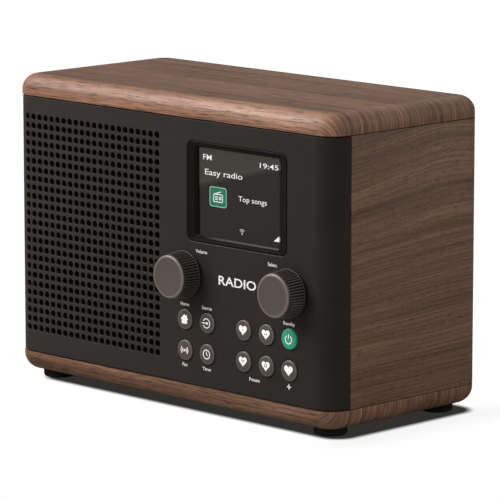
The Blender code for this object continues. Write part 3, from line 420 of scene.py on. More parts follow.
# ------------------------------------------------------------------ mesh helpers
def volume_of(verts, faces):
    total = 0.0
    for f in faces:
        a = verts[f[0]]
        for i in range(1, len(f) - 1):
            b, c = verts[f[i]], verts[f[i + 1]]
            total += (a[0] * (b[1] * c[2] - b[2] * c[1]) - a[1] * (b[0] * c[2] - b[2] * c[0])
                      + a[2] * (b[0] * c[1] - b[1] * c[0]))
    return total


def piece(name, verts, faces, mat, body="case", stands_for=(), slot=None, angle=35, uv=None,
          normals=None, closed=True):
    """A mesh in the row frame from points in mm. Closed shapes are turned to face outwards."""
    if closed and volume_of(verts, faces) < 0:
        faces = [tuple(reversed(f)) for f in faces]
        if uv is not None:
            uv = [list(reversed(loop)) for loop in uv]
    mesh = bpy.data.meshes.new(name)
    mesh.from_pydata([(x * MM, y * MM, z * MM) for x, y, z in verts], [], faces)
    mesh.update()
    mesh.shade_smooth()
    mesh.set_sharp_from_angle(angle=math.radians(angle))
    if uv is not None:
        layer = mesh.uv_layers.new(name="Grain")
        flat = [c for loop in uv for point in loop for c in point]
        layer.data.foreach_set("uv", flat)
    if normals is not None:
        mesh.normals_split_custom_set(normals)
    return settle(bpy.data.objects.new(name, mesh), mat, body, stands_for)


def settle(obj, mat, body="case", stands_for=()):
    if obj.name not in bpy.context.scene.collection.objects:
        bpy.context.scene.collection.objects.link(obj)
    obj.data.materials.clear()
    obj.data.materials.append(mat)
    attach(obj, body)
    if stands_for:
        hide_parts(*([stands_for] if isinstance(stands_for, str) else stands_for))
    return obj


AIM = {   # a turned piece's own axes: across, across, along
    "-Y": (Vector((1, 0, 0)), Vector((0, 0, 1)), Vector((0, -1, 0))),
    "+Y": (Vector((1, 0, 0)), Vector((0, 0, 1)), Vector((0, 1, 0))),
    "+Z": (Vector((1, 0, 0)), Vector((0, 1, 0)), Vector((0, 0, 1))),
    "-X": (Vector((0, 1, 0)), Vector((0, 0, 1)), Vector((-1, 0, 0))),
}


def turned_mesh(profile, at, aim, sides, ring=False, radius=None):
    """Points and faces of a turned shape. The profile is (radius, height) pairs in mm.
    radius(r, h, angle) may change the radius round the piece."""
    e1, e2, e3 = AIM[aim]
    at = Vector(at)
    verts, rows = [], []
    for r, h in profile:
        if r < 1e-9:
            rows.append([len(verts)] * sides)
            verts.append(tuple(at + e3 * h))
            continue
        row = []
        for k in range(sides):
            t = 2 * math.pi * k / sides
            q = radius(r, h, t) if radius else r
            row.append(len(verts))
            verts.append(tuple(at + e1 * (q * math.cos(t)) + e2 * (q * math.sin(t)) + e3 * h))
        rows.append(row)
    pairs = list(zip(rows, rows[1:])) + ([(rows[-1], rows[0])] if ring else [])
    faces = []
    for a, b in pairs:
        for k in range(sides):
            n = (k + 1) % sides
            face = []
            for i in (a[k], a[n], b[n], b[k]):
                if i not in face:
                    face.append(i)
            if len(face) > 2:
                faces.append(tuple(face))
    return verts, faces


def turned(name, profile, at, aim, sides, mat, body="case", stands_for=(), slot=None, ring=False,
           angle=35, radius=None):
    verts, faces = turned_mesh(profile, at, aim, sides, ring, radius)
    return piece(name, verts, faces, mat, body, stands_for, slot, angle)


def merged(parts):
    verts, faces = [], []
    for v, f in parts:
        base = len(verts)
        verts += v
        faces += [tuple(i + base for i in face) for face in f]
    return verts, faces


def bend(cx, cy, radius, start, end, steps):
    """(across, height) points on an arc, angles in degrees."""
    return [(cx + radius * math.cos(math.radians(start + (end - start) * i / steps)),
             cy + radius * math.sin(math.radians(start + (end - start) * i / steps)))
            for i in range(steps + 1)]


def rounded(width, height, radius, steps=6, cx=0.0, cy=0.0):
    """A rounded rectangle, counter-clockwise, as many points for any size."""
    w, h, radius = width / 2, height / 2, max(radius, 0.001)
    points = []
    for sx, sy, start in ((1, 1, 0), (-1, 1, 90), (-1, -1, 180), (1, -1, 270)):
        points += bend(cx + sx * (w - radius), cy + sy * (h - radius), radius, start, start + 90, steps)
    return points


def circle(cx, cy, radius, sides, turn=0.0):
    return [(cx + radius * math.cos(2 * math.pi * (k + turn) / sides),
             cy + radius * math.sin(2 * math.pi * (k + turn) / sides)) for k in range(sides)]


def loft(loops, caps=(False, False), ring=False):
    """Faces between loops of points with the same count."""
    count = len(loops[0])
    verts = [tuple(p) for loop in loops for p in loop]
    faces = []
    steps = len(loops) if ring else len(loops) - 1
    for i in range(steps):
        a, b = i * count, (i + 1) % len(loops) * count
        for k in range(count):
            n = (k + 1) % count
            faces.append((a + k, a + n, b + n, b + k))
    if caps[0]:
        faces.append(tuple(reversed(range(count))))
    if caps[1]:
        faces.append(tuple((len(loops) - 1) * count + k for k in range(count)))
    return verts, faces


def inside(point, loop):
    x, y = point
    hit = False
    for (x0, y0), (x1, y1) in zip(loop, loop[1:] + loop[:1]):
        if (y0 > y) != (y1 > y) and x < (x1 - x0) * (y - y0) / (y1 - y0) + x0:
            hit = not hit
    return hit


def snap(loop):
    return [(round(x, 3), round(y, 3)) for x, y in loop]


def fill(outer, holes, lines=()):
    """Triangles, counter-clockwise, that fill the outer loop apart from its holes."""
    points, edges = [], []
    for loop in (outer, *holes):
        base = len(points)
        points += loop
        edges += [(base + i, base + (i + 1) % len(loop)) for i in range(len(loop))]
    for a, b in lines:
        edges.append((len(points), len(points) + 1))
        points += [a, b]
    found = geometry.delaunay_2d_cdt([Vector(p) for p in points], edges, [], 0, 1e-4)
    boxes = [(min(x for x, _ in h), max(x for x, _ in h), min(y for _, y in h), max(y for _, y in h), h)
             for h in holes]
    triangles = []
    for face in found[2]:
        corners = [(round(found[0][i].x, 3), round(found[0][i].y, 3)) for i in face]
        cx, cy = (sum(c[i] for c in corners) / len(corners) for i in (0, 1))
        if not inside((cx, cy), outer):
            continue
        if any(x0 < cx < x1 and y0 < cy < y1 and inside((cx, cy), h) for x0, x1, y0, y1, h in boxes):
            continue
        area = sum(a[0] * b[1] - b[0] * a[1] for a, b in zip(corners, corners[1:] + corners[:1]))
        if abs(area) < 1e-7:
            continue
        triangles.append(corners if area > 0 else corners[::-1])
    return triangles


class Plate:
    """A plate with openings, worked out flat and laid on a surface by place(s, z, depth)."""

    def __init__(self, place):
        self.place, self.verts, self.at, self.faces, self.index = place, [], [], [], {}
        self.front, self.deep = [], []

    def v(self, s, z, d):
        key = (round(s, 3), round(z, 3), round(d, 4))
        if key not in self.index:
            self.index[key] = len(self.verts)
            self.verts.append(self.place(*key))
            self.at.append(key[0])
        return self.index[key]

    def add(self, corners, front=False, deep=False):
        ids = []
        for c in corners:
            i = self.v(*c)
            if i not in ids:
                ids.append(i)
        if len(ids) > 2:
            self.faces.append(tuple(ids))
            self.front.append(front)
            self.deep.append(deep)

    def wall(self, stack, hole=True, dark=False):
        """Faces from each loop of a stack of (loop, depth) to the next one in."""
        for (a, da), (b, db) in zip(stack, stack[1:]):
            for i in range(len(a)):
                n = (i + 1) % len(a)
                quad = [(*a[i], da), (*a[n], da), (*b[n], db), (*b[i], db)]
                # With dark set, faces past the first 0.05 mm of depth are flagged for the near-black material that
                # paints shade on the grille's hole walls.
                self.add(quad if hole else quad[::-1], deep=dark and da > 0.05)

    def build(self, outer, holes, lines=(), block=None):
        """outer and holes are stacks of (loop, depth), front first. block is an empty
        rectangle loop that other faces fill."""
        outer = [(snap(loop), d) for loop, d in outer]
        holes = [[(snap(loop), d) for loop, d in stack] for stack in holes]
        extra = [snap(block)] if block else []
        for end, flip in ((0, False), (-1, True)):
            lo = min(y for _, y in outer[end][0])
            hi = max(y for _, y in outer[end][0])
            fitted = [((x, lo if a is None else a), (x, hi if b is None else b)) for x, a, b in lines]
            loops = [stack[end][0] for stack in holes] + extra
            for corners in fill(outer[end][0], loops, fitted):
                flat = [(x, z, outer[end][1]) for x, z in corners]
                self.add(flat[::-1] if flip else flat, front=not flip)
        self.wall(outer, hole=False)
        for stack in holes:
            self.wall(stack)


def hole_stack(loop_of, grow, depth, chamfer=0.15):
    """A chamfered opening right through: loop_of(grow) gives its outline made larger by that."""
    return [(loop_of(grow + chamfer), 0.0), (loop_of(grow), chamfer), (loop_of(grow), depth)]


# ------------------------------------------------------------------ wooden slabs
def slab(name, flat_z, edge_z, rim_r, mat, stands_for):
    """edge_z is the broad rounded face and flat_z the face against the cabinet."""
    up = 1 if edge_z > flat_z else -1
    steps, corner_steps = 12, 14

    def outline(inset):
        return rounded(2 * (HALF - inset), (R - F) - 2 * inset, CORNER - inset, corner_steps,
                       0.0, (F + R) / 2)

    normals = []
    for start in (0, 90, 180, 270):
        normals += [(math.cos(math.radians(start + 90 * i / corner_steps)),
                     math.sin(math.radians(start + 90 * i / corner_steps)))
                    for i in range(corner_steps + 1)]
    profile = [(rim_r * (1 - math.sin(math.radians(90 * i / steps))),
                edge_z - up * rim_r * (1 - math.cos(math.radians(90 * i / steps))),
                rim_r * math.radians(90 * i / steps)) for i in range(steps + 1)]
    run = rim_r * math.pi / 2
    profile += [(0.0, flat_z + up * 0.35, run + abs(edge_z - flat_z) - rim_r - 0.35),
                (0.10, flat_z + up * 0.10, run + abs(edge_z - flat_z) - rim_r - 0.10),
                (0.35, flat_z, run + abs(edge_z - flat_z) - rim_r + 0.1)]
    inner = outline(rim_r)
    loops, grain = [], []
    for inset, z, t in profile:
        loops.append([(x, y, z) for x, y in outline(inset)])
        grain.append([((x + nx * t) * MM, (y + ny * t) * MM) for (x, y), (nx, ny) in zip(inner, normals)])
    verts, faces = loft(loops, (True, True))
    count = len(inner)
    uv = []
    for f in faces:
        if len(f) == 4:
            uv.append([grain[i // count][i % count] for i in f])
        else:
            uv.append([(verts[i][0] * MM, verts[i][1] * MM) for i in f])
    return piece(name, verts, faces, mat, "case", stands_for, "walnut", uv=uv)


slab("top_slab", TOP_Z0, TOP_Z, 7.6, WALNUT_TOP, "top_panel")
slab("base_slab", BASE_Z1, BASE_Z, 8.2, WALNUT_BASE, "bottom_panel")


def side(name, sign, stands_for):
    """A side panel, rounded at the rear, with the batten that the cover screws into."""
    lo, hi = mm_box(stands_for)
    front, z0, z1 = lo[1], lo[2], hi[2]
    cover_front = COVER_Y0
    outline = [(HALF, front), (HALF, R - CORNER)]
    outline += bend(HALF - CORNER, R - CORNER, CORNER, 0, 90, 18)[1:]
    outline += [(97.0, R), (97.0, cover_front - 0.3), (89.0, cover_front - 0.3), (89.0, R - 17),
                (HALF - 10, R - 23), (HALF - 10, front)]
    bm = bmesh.new()
    base = bm.faces.new([bm.verts.new((sign * x * MM, y * MM, z0 * MM)) for x, y in outline])
    out = bmesh.ops.extrude_face_region(bm, geom=[base])["geom"]
    bmesh.ops.translate(bm, vec=(0, 0, (z1 - z0) * MM), verts=[g for g in out if isinstance(g, bmesh.types.BMVert)])
    bmesh.ops.recalc_face_normals(bm, faces=bm.faces)
    rim = []
    for e in bm.edges:
        (ax, ay, az), (bx, by, bz) = e.verts[0].co, e.verts[1].co
        outside = all(abs(abs(x) - (HALF - 10) * MM) > 1e-6 and abs(x) > 0.0975 - 1e-9 or y > 0.0515
                      for x, y in ((ax, ay), (bx, by)))
        upright = abs(az - bz) > 1e-4
        if (not upright and outside) or (upright and abs(ay - front * MM) < 1e-7 and abs(ax) > 0.1085):
            rim.append(e)
    bmesh.ops.bevel(bm, geom=rim, offset=0.3 * MM, offset_type="OFFSET", segments=2, profile=0.5,
                    affect="EDGES", clamp_overlap=True)
    bmesh.ops.recalc_face_normals(bm, faces=bm.faces)
    layer = bm.loops.layers.uv.new("Grain")
    turn_at = (R - CORNER) * MM
    for f in bm.faces:
        for loop in f.loops:
            x, y, z = loop.vert.co
            if y > turn_at:
                angle = math.atan2(y - turn_at, max(abs(x) - (HALF - CORNER) * MM, 0.0))
                along = turn_at + CORNER * MM * angle + max((HALF - CORNER) * MM - abs(x), 0.0)
            else:
                along = y
            loop[layer].uv = (along, z)
    mesh = bpy.data.meshes.new(name)
    bm.to_mesh(mesh)
    bm.free()
    mesh.shade_smooth()
    mesh.set_sharp_from_angle(angle=math.radians(35))
    return settle(bpy.data.objects.new(name, mesh), WALNUT_SIDE, "case", stands_for)


side("side_right", 1, "side_panel_right")
side("side_left", -1, "side_panel_left")

# ------------------------------------------------------------------ fascia with its grille
FLAT = 97.0
BEND_R = (HALF - 0.3) - FLAT
BEND_L = BEND_R * math.pi / 2
FASCIA_END = FLAT + BEND_L + 0.4


def on_fascia(s, z, d):
    a, sign = abs(s), (1 if s >= 0 else -1)
    if a <= FLAT:
        return (s, SKIN + d, z)
    if a <= FLAT + BEND_L:
        t = (a - FLAT) / BEND_R
        return (sign * (FLAT + (BEND_R - d) * math.sin(t)), SKIN + BEND_R - (BEND_R - d) * math.cos(t), z)
    return (sign * (FLAT + BEND_R - d), SKIN + BEND_R + (a - FLAT - BEND_L), z)


def fascia_normal(s):
    t = min(max((abs(s) - FLAT) / BEND_R, 0.0), math.pi / 2)
    return ((1 if s >= 0 else -1) * math.sin(t), -math.cos(t), 0.0)


PITCH, COLS, ROWS = 4.37, 22, 25
GRILLE_X, GRILLE_Z, HOLE_R = -98.4, 26.02, 1.60
gx = [round(GRILLE_X + (i - 0.5) * PITCH, 3) for i in range(COLS + 1)]
gz = [round(GRILLE_Z + (j - 0.5) * PITCH, 3) for j in range(ROWS + 1)]

strips_left = [round(gx[0] - (FLAT + BEND_L + gx[0]) * i / 9, 3) for i in range(10)]
strips_right = [round(FLAT + BEND_L * i / 16, 3) for i in range(17)]
c = 0.22
left, right = round(-FASCIA_END + c, 3), round(FASCIA_END - c, 3)
bottom_s = [left, *reversed(strips_left), GRILLE_X, gx[1], 0.0, *strips_right, right]


def fascia_outline(grow, bottom, top):
    """Counter-clockwise, with a point at every strip, so that front and back match."""
    along = [bottom_s[0] - grow, *bottom_s[1:-1], bottom_s[-1] + grow]
    return [(s, bottom) for s in along] + [(s, top) for s in reversed(along)]


FZ0, FZ1 = FZ0 + 0.25, FZ1 - 0.25      # a clear line above and below it
plate = Plate(on_fascia)
outer = [(fascia_outline(0.0, FZ0 + c, FZ1 - c), 0.0), (fascia_outline(c, FZ0, FZ1), c),
         (fascia_outline(c, FZ0, FZ1), SKIN_T)]
holes = [hole_stack(lambda g: rounded(OPEN_W + 2 * g, OPEN_H + 2 * g, 3.6 + g, 8, DISPLAY_X, DISPLAY_Z),
                    0.0, SKIN_T, 0.22)]
for node in ("volume_knob", "select_knob"):
    x, _, z = middle(node)
    holes.append(hole_stack(lambda g, x=x, z=z: circle(x, z, 4.7 + g, 48), 0.0, SKIN_T))
for name in BUTTONS:
    x, _, z = middle("button_" + name)
    holes.append(hole_stack(lambda g, x=x, z=z: circle(x, z, 5.25 + g, 56), 0.0, SKIN_T, 0.18))
lines = [(s, None, None) for s in (*strips_left[1:], *strips_right)]
lines += [(s, a, b) for s in (gx[0], GRILLE_X, gx[1]) for a, b in ((None, gz[0]), (gz[-1], None))]
block = ([(x, gz[0]) for x in (gx[0], GRILLE_X, *gx[1:])] + [(gx[-1], z) for z in gz[1:]]
         + [(x, gz[-1]) for x in reversed((gx[0], GRILLE_X, *gx[1:-1]))] + [(gx[0], z) for z in reversed(gz[1:-1])])
plate.build(outer, holes, lines, block)

SIDES = 16
for i in range(COLS):
    for j in range(ROWS):
        cx, cz = round(GRILLE_X + i * PITCH, 3), round(GRILLE_Z + j * PITCH, 3)
        box = [(gx[i + 1], gz[j + 1]), (gx[i], gz[j + 1]), (gx[i], gz[j]), (gx[i + 1], gz[j])]
        stack = [(snap(circle(cx, cz, HOLE_R + 0.13, SIDES)), 0.0), (snap(circle(cx, cz, HOLE_R, SIDES)), 0.13),
                 (snap(circle(cx, cz, HOLE_R, SIDES)), SKIN_T)]
        for ring, depth, flip in ((stack[0][0], 0.0, False), (stack[-1][0], SKIN_T, True)):
            for q in range(4):          # quadrant q is nearest corner q
                corner = box[q]
                for k in range(4):
                    a, b = ring[(4 * q + k) % SIDES], ring[(4 * q + k + 1) % SIDES]
                    tri = [(*corner, depth), (*b, depth), (*a, depth)]
                    plate.add(tri[::-1] if flip else tri, front=not flip)
                after, tip = box[(q + 1) % 4], ring[(4 * q + 4) % SIDES]
                edge = [corner, after]
                if i == 0 and q in (0, 2):
                    edge = [corner, (GRILLE_X, corner[1]), after]
                for p, n in zip(edge, edge[1:]):
                    tri = [(*p, depth), (*n, depth), (*tip, depth)]
                    plate.add(tri[::-1] if flip else tri, front=not flip)
        plate.wall(stack, dark=True)
print("fascia faces", len(plate.faces), "volume", volume_of(plate.verts, plate.faces))
normals = []
for face, front in zip(plate.faces, plate.front):
    normals += [fascia_normal(plate.at[i]) if front else (0.0, 0.0, 0.0) for i in face]
fascia = piece("fascia_skin", plate.verts, plate.faces, CHARCOAL, "case", "front_fascia",
               "charcoal_plastic", normals=normals, closed=False, angle=30)
# Painted shade: the walls of the grille's holes, past their chamfer, take the near-black inside material.
fascia.data.materials.append(CHARCOAL_INSIDE_SHADE)     # the walls of the grille's holes
for face, deep in zip(fascia.data.polygons, plate.deep):
    face.material_index = 1 if deep else 0

# The posts behind it that carry the speaker and the control board.
parts = []
for k in range(4):
    x, _, z = middle(f"speaker_screw_{k + 1}")
    parts.append(turned_mesh([(1.7, 0.4), (3.6, 0.4), (3.9, 0.1), (3.9, 0.02), (3.6, 3.7), (1.7, 3.7)][:1]
                             + [(3.9, 0.4), (3.6, 0.9), (3.6, 3.7), (1.7, 3.7)],
                             (x, SKIN + SKIN_T - 0.38, z), "+Y", 24, ring=True))
board_lo, board_hi = mm_box("control_board")
for x in (7.0, 92.0):
    for z in (22.5, 134.0):
        parts.append(turned_mesh([(0, 10.6), (1.1, 10.6), (1.3, 10.4), (1.3, 7.95), (2.8, 7.95), (2.8, 0.4), (3.2, 0.02), (0, 0.02)],
                                 (x, SKIN + SKIN_T, z), "+Y", 24))
piece("fascia_posts", *merged(parts), CHARCOAL_INSIDE_SHADE, "case", slot="charcoal_plastic")

# ------------------------------------------------------------------ display
BEZEL_Y = mm_box("display_bezel")[0][1]
PANE_Y = mm_box("display_window")[0][1]


def frame_loop(width, height, radius, y, steps=8):
    return [(x, y, z) for x, z in rounded(width, height, radius, steps, DISPLAY_X, DISPLAY_Z)]


outer_w, outer_h = OPEN_W - 0.4, OPEN_H - 0.4
rim_w, rim_h = outer_w - 1.1, outer_h - 1.1
bezel = [frame_loop(outer_w, outer_h, 3.4, SKIN + SKIN_T + 1.5)]
bezel += [frame_loop(outer_w, outer_h, 3.4, BEZEL_Y + 0.35), frame_loop(outer_w - 0.2, outer_h - 0.2, 3.3, BEZEL_Y + 0.1),
          frame_loop(outer_w - 0.6, outer_h - 0.6, 3.1, BEZEL_Y),
          frame_loop(rim_w - 0.2, rim_h - 0.2, 3.0, BEZEL_Y), frame_loop(rim_w - 0.7, rim_h - 0.6, 2.9, BEZEL_Y + 0.10),
          frame_loop(SCREEN_W + 3.4, SCREEN_H + 1.3, 1.9, BEZEL_Y + 0.42), frame_loop(SCREEN_W + 0.6, SCREEN_H + 0.45, 1.2, BEZEL_Y + 1.38),
          frame_loop(SCREEN_W + 0.1, SCREEN_H + 0.1, 1.0, BEZEL_Y + 1.58), frame_loop(SCREEN_W, SCREEN_H, 0.9, BEZEL_Y + 1.75),
          frame_loop(SCREEN_W, SCREEN_H, 0.9, BEZEL_Y + 2.08), frame_loop(57.4, 45.2, 0.9, BEZEL_Y + 2.08),
          frame_loop(57.4, 45.2, 0.9, SKIN + SKIN_T + 1.5)]
verts, faces = loft(bezel, ring=True)
piece("display_frame", verts, faces, BEZEL, "case", "display_bezel", "bezel_gloss", angle=28)
verts, faces = loft([frame_loop(66.0 + 3.6, 48.0 + 3.6, 4.0, SKIN + SKIN_T + 0.3), frame_loop(66.0 + 4, 48.0 + 4, 4.0, SKIN + SKIN_T + 0.5),
                     frame_loop(66.0 + 4, 48.0 + 4, 4.0, SKIN + SKIN_T + 1.5),
                     frame_loop(outer_w, outer_h, 3.4, SKIN + SKIN_T + 1.5), frame_loop(outer_w, outer_h, 3.4, SKIN + SKIN_T + 0.3)], ring=True)
piece("display_flange", verts, faces, CHARCOAL_INSIDE_SHADE, "case", slot="bezel_gloss")
verts, faces = loft([frame_loop(56.4, 44.2, 1.0, PANE_Y + 0.15), frame_loop(56.7, 44.5, 1.0, PANE_Y),
                     frame_loop(56.8, 44.6, 1.0, PANE_Y + 0.15), frame_loop(56.8, 44.6, 1.0, PANE_Y + 1.2)][1:], (True, True))
piece("display_pane", verts, faces, PANE, "case", "display_window", "display_glass")


# ------------------------------------------------------------------ flat shapes: text and icons
def shape_mesh(loops, thick):
    """A flat shape from closed loops (even-odd), thick mm, its back at height 0."""
    curve = bpy.data.curves.new("shape", "CURVE")
    curve.dimensions = "2D"
    curve.fill_mode = "BOTH"
    curve.extrude = thick / 2
    for loop in loops:
        spline = curve.splines.new("POLY")
        spline.points.add(len(loop) - 1)
        for point, (x, y) in zip(spline.points, loop):
            point.co = (x, y, 0.0, 1.0)
        spline.use_cyclic_u = True
    return evaluated(curve, thick)


def text_mesh(text, thick, size=10.0, spacing=1.0, bold=0.0):
    curve = bpy.data.curves.new("letters", "FONT")
    curve.body = text
    curve.size = size
    curve.align_x = "CENTER"
    curve.align_y = "CENTER"
    curve.space_character = spacing
    curve.offset = bold
    curve.extrude = thick / 2
    curve.resolution_u = 4
    return evaluated(curve, thick)


def evaluated(curve, thick):
    holder = bpy.data.objects.new("holder", curve)
    bpy.context.scene.collection.objects.link(holder)
    bpy.context.view_layer.update()
    graph = bpy.context.evaluated_depsgraph_get()
    mesh = bpy.data.meshes.new_from_object(holder.evaluated_get(graph))
    bpy.data.objects.remove(holder, do_unlink=True)
    bpy.data.curves.remove(curve)
    bm = bmesh.new()
    bm.from_mesh(mesh)
    bmesh.ops.remove_doubles(bm, verts=bm.verts, dist=1e-4)
    bmesh.ops.translate(bm, vec=(0, 0, thick / 2), verts=bm.verts)
    bm.to_mesh(mesh)
    bm.free()
    return mesh


def on_front(name, mesh, mat, x, z, y, body="case", scale=(1.0, 1.0), lift=None):
    """Lays a flat shape, drawn in mm, against a front surface: its back at y."""
    for v in mesh.vertices:
        px, pz, out = v.co.x * scale[0], v.co.y * scale[1], v.co.z
        out += lift(px, pz) if lift else 0.0
        v.co = ((x + px) * MM, (y - out) * MM, (z + pz) * MM)
    mesh.update()
    mesh.name = name
    return settle(bpy.data.objects.new(name, mesh), mat, body, ())


def fitted_text(name, text, mat, x0, x1, z0, z1, y, thick=0.03, bold=0.0, body="case"):
    mesh = text_mesh(text, thick, bold=bold)
    xs, ys = [v.co.x for v in mesh.vertices], [v.co.y for v in mesh.vertices]
    sx, sy = (x1 - x0) / (max(xs) - min(xs)), (z1 - z0) / (max(ys) - min(ys))
    cx, cy = (max(xs) + min(xs)) / 2, (max(ys) + min(ys)) / 2
    for v in mesh.vertices:
        v.co.x -= cx
        v.co.y -= cy
    return on_front(name, mesh, mat, (x0 + x1) / 2, (z0 + z1) / 2, y, body, (sx, sy))


SCREEN_Y = PANE_Y - 0.01
fitted_text("screen_band", "FM", WHITE_LIT, 22.6, 28.2, 122.2, 124.7, SCREEN_Y, bold=0.02)
fitted_text("screen_clock", "19:45", WHITE_LIT, 60.0, 72.1, 122.1, 124.5, SCREEN_Y, bold=0.02)
fitted_text("screen_line", "Easy radio", WHITE_LIT, 23.8, 48.6, 114.3, 117.9, SCREEN_Y, bold=0.01)
fitted_text("screen_title", "Top songs", WHITE_LIT, 46.0, 64.6, 104.1, 107.4, SCREEN_Y, bold=0.0)

icon_x, icon_z = 32.5, 105.3
on_front("screen_tile_edge", shape_mesh([rounded(11.3, 9.5, 1.4, 8), rounded(10.5, 8.7, 1.1, 8)[::-1]], 0.03),
         MINT_LIT, icon_x, icon_z, SCREEN_Y)
on_front("screen_tile", shape_mesh([rounded(10.46, 8.66, 1.08, 8)], 0.02), GREEN_LIT, icon_x, icon_z, SCREEN_Y)
# A small set with a dial and three grille bars, and its aerial.
tiny = [rounded(6.4, 4.0, 0.8, 6, 0, -0.5), rounded(5.6, 3.2, 0.5, 6, 0, -0.5)[::-1]]
on_front("screen_tile_set", shape_mesh(tiny, 0.03), WHITE_LIT, icon_x, icon_z, SCREEN_Y - 0.02)
on_front("screen_tile_dial", shape_mesh([circle(1.45, -0.5, 0.85, 28), circle(1.45, -0.5, 0.35, 20)[::-1]], 0.03),
         WHITE_LIT, icon_x, icon_z, SCREEN_Y - 0.02)
on_front("screen_tile_bars", shape_mesh([rounded(2.1, 0.34, 0.16, 4, -1.1, -0.5 + d) for d in (-0.75, 0.0, 0.75)], 0.03),
         WHITE_LIT, icon_x, icon_z, SCREEN_Y - 0.02)
on_front("screen_tile_aerial", shape_mesh([[(-2.5, 1.45), (1.9, 2.9), (2.05, 2.5), (-1.6, 1.3), (-2.5, 1.3)]], 0.03),
         WHITE_LIT, icon_x, icon_z, SCREEN_Y - 0.02)


def arc_band(cx, cy, radius, width, start, end, steps=16):
    return bend(cx, cy, radius + width / 2, start, end, steps) + bend(cx, cy, radius - width / 2, end, start, steps)


signal = [arc_band(0, -1.1, r, 0.42, 45, 135) for r in (1.2, 2.1)] + [circle(0, -1.1, 0.42, 20)]
on_front("screen_signal", shape_mesh(signal, 0.03), GREY_LIT, 48.4, 90.8, SCREEN_Y)
on_front("screen_corner", shape_mesh([[(-1.75, -1.35), (1.75, -1.35), (1.75, 1.35)]], 0.03), WHITE_LIT, 70.9, 90.2, SCREEN_Y)

LABEL_Y = SKIN - 0.002
for name, text, x, z, size in (
    ("label_volume", "Volume", 23.6, 78.5, 2.4), ("label_select", "Select", 70.4, 78.2, 2.4),
    ("label_home", "Home", 12.2, 52.1, 2.3), ("label_source", "Source", 27.1, 52.0, 2.3),
    ("label_pair", "Pair", 12.3, 22.9, 2.3), ("label_timer", "Timer", 27.1, 22.7, 2.3),
    ("label_presets", "Presets", 58.8, 22.3, 2.3), ("label_standby", "Standby", 81.2, 52.0, 2.3),
):
    on_front(name, text_mesh(text, 0.02, size, 1.03, 0.02), INK, x, z, LABEL_Y)
on_front("label_plus", shape_mesh([[(-1.3, -0.26), (-0.26, -0.26), (-0.26, -1.3), (0.26, -1.3), (0.26, -0.26), (1.3, -0.26),
                                    (1.3, 0.26), (0.26, 0.26), (0.26, 1.3), (-0.26, 1.3), (-0.26, 0.26), (-1.3, 0.26)]], 0.02),
         INK_BRIGHT, 81.3, 22.4, LABEL_Y)
fitted_text("label_radio", "RADIO", INK_BRIGHT, 35.0, 59.8, 64.4, 68.8, LABEL_Y, 0.02, bold=0.14)

# ------------------------------------------------------------------ knobs
RIDGES, KNOB_SIDES = 50, 400


def knob(name, node, body):
    """Smooth face and rim, then fine ridges down a body that flares towards the fascia."""
    x, _, z = middle(node)
    out = F - mm_box(node)[0][1]

    def ridged(r, h, t):
        if not (1.2 < h < out - 1.75) or r < 10:
            return r
        wave = 0.5 + 0.5 * math.cos(RIDGES * t)
        fade = min(1.0, (out - 1.75 - h) / 0.35, (h - 1.2) / 0.3)
        return r - 0.62 * fade * (1 - wave ** 0.7)

    body_r = lambda h: 10.42 + (11.5 - 10.42) * (out - 1.6 - h) / (out - 1.6 - 1.7)
    profile = [(0, out - 0.25), (2, out - 0.245), (4.5, out - 0.22), (6.8, out - 0.16), (8.3, out - 0.08), (9.1, out - 0.01)]
    profile += [(9.25 + 1.15 * math.sin(math.radians(a)), out - 1.15 + 1.15 * math.cos(math.radians(a)))
                for a in (6, 18, 32, 46, 60, 74, 86)]
    profile += [(10.41, h) for h in (out - 1.5, out - 1.74)]
    profile += [(body_r(h), h) for h in (out - 1.78, out - 1.95, out - 2.15, out - 3.5, out - 5.5, out - 7.5, 2.4, 1.9, 1.65, 1.4, 1.21)]
    profile += [(11.35, 1.0), (11.1, 0.9), (9.9, 0.9), (9.6, 1.1), (9.2, 8.0), (5.2, 8.0), (5.2, 1.8), (3.25, 1.8), (3.25, 8.6), (0, 8.6)]
    obj = turned(name, profile, (x, F, z), "-Y", KNOB_SIDES, KNOB, body, node, "knob_plastic", radius=ridged, angle=32)
    obj.data.materials.append(KNOB_RIM_HIGHLIGHT)
    obj.data.materials.append(KNOB_VALLEY_SHADE)
    obj.data.materials.append(KNOB_CREST_HIGHLIGHT)
    # Painted light: crest faces take the paler material and valley faces the near-black one, and the rounded rim takes
    # the pale one.
    for face in obj.data.polygons:
        h = F - face.center.y / MM
        r = math.hypot(face.center.x / MM - x, face.center.z / MM - z)
        if r > 9.95 and h < out - 0.55:
            turn = math.atan2(face.center.z / MM - z, face.center.x / MM - x)
            face.material_index = 3 if math.cos(RIDGES * turn) > 0.35 else 2
        elif r > 9.2 and h > out - 0.60:
            face.material_index = 1
    return obj


knob("volume_dial", "volume_knob", "volume_knob")
knob("select_dial", "select_knob", "select_knob")


# ------------------------------------------------------------------ buttons
CAP_R, CAP_OUT = 4.95, 0.9


def crown(px, pz):
    """How far the domed cap stands in front of the fascia's skin."""
    r = math.hypot(px, pz)
    return CAP_OUT - 0.16 * max(0.0, (r - 3.1) / 1.3) ** 2


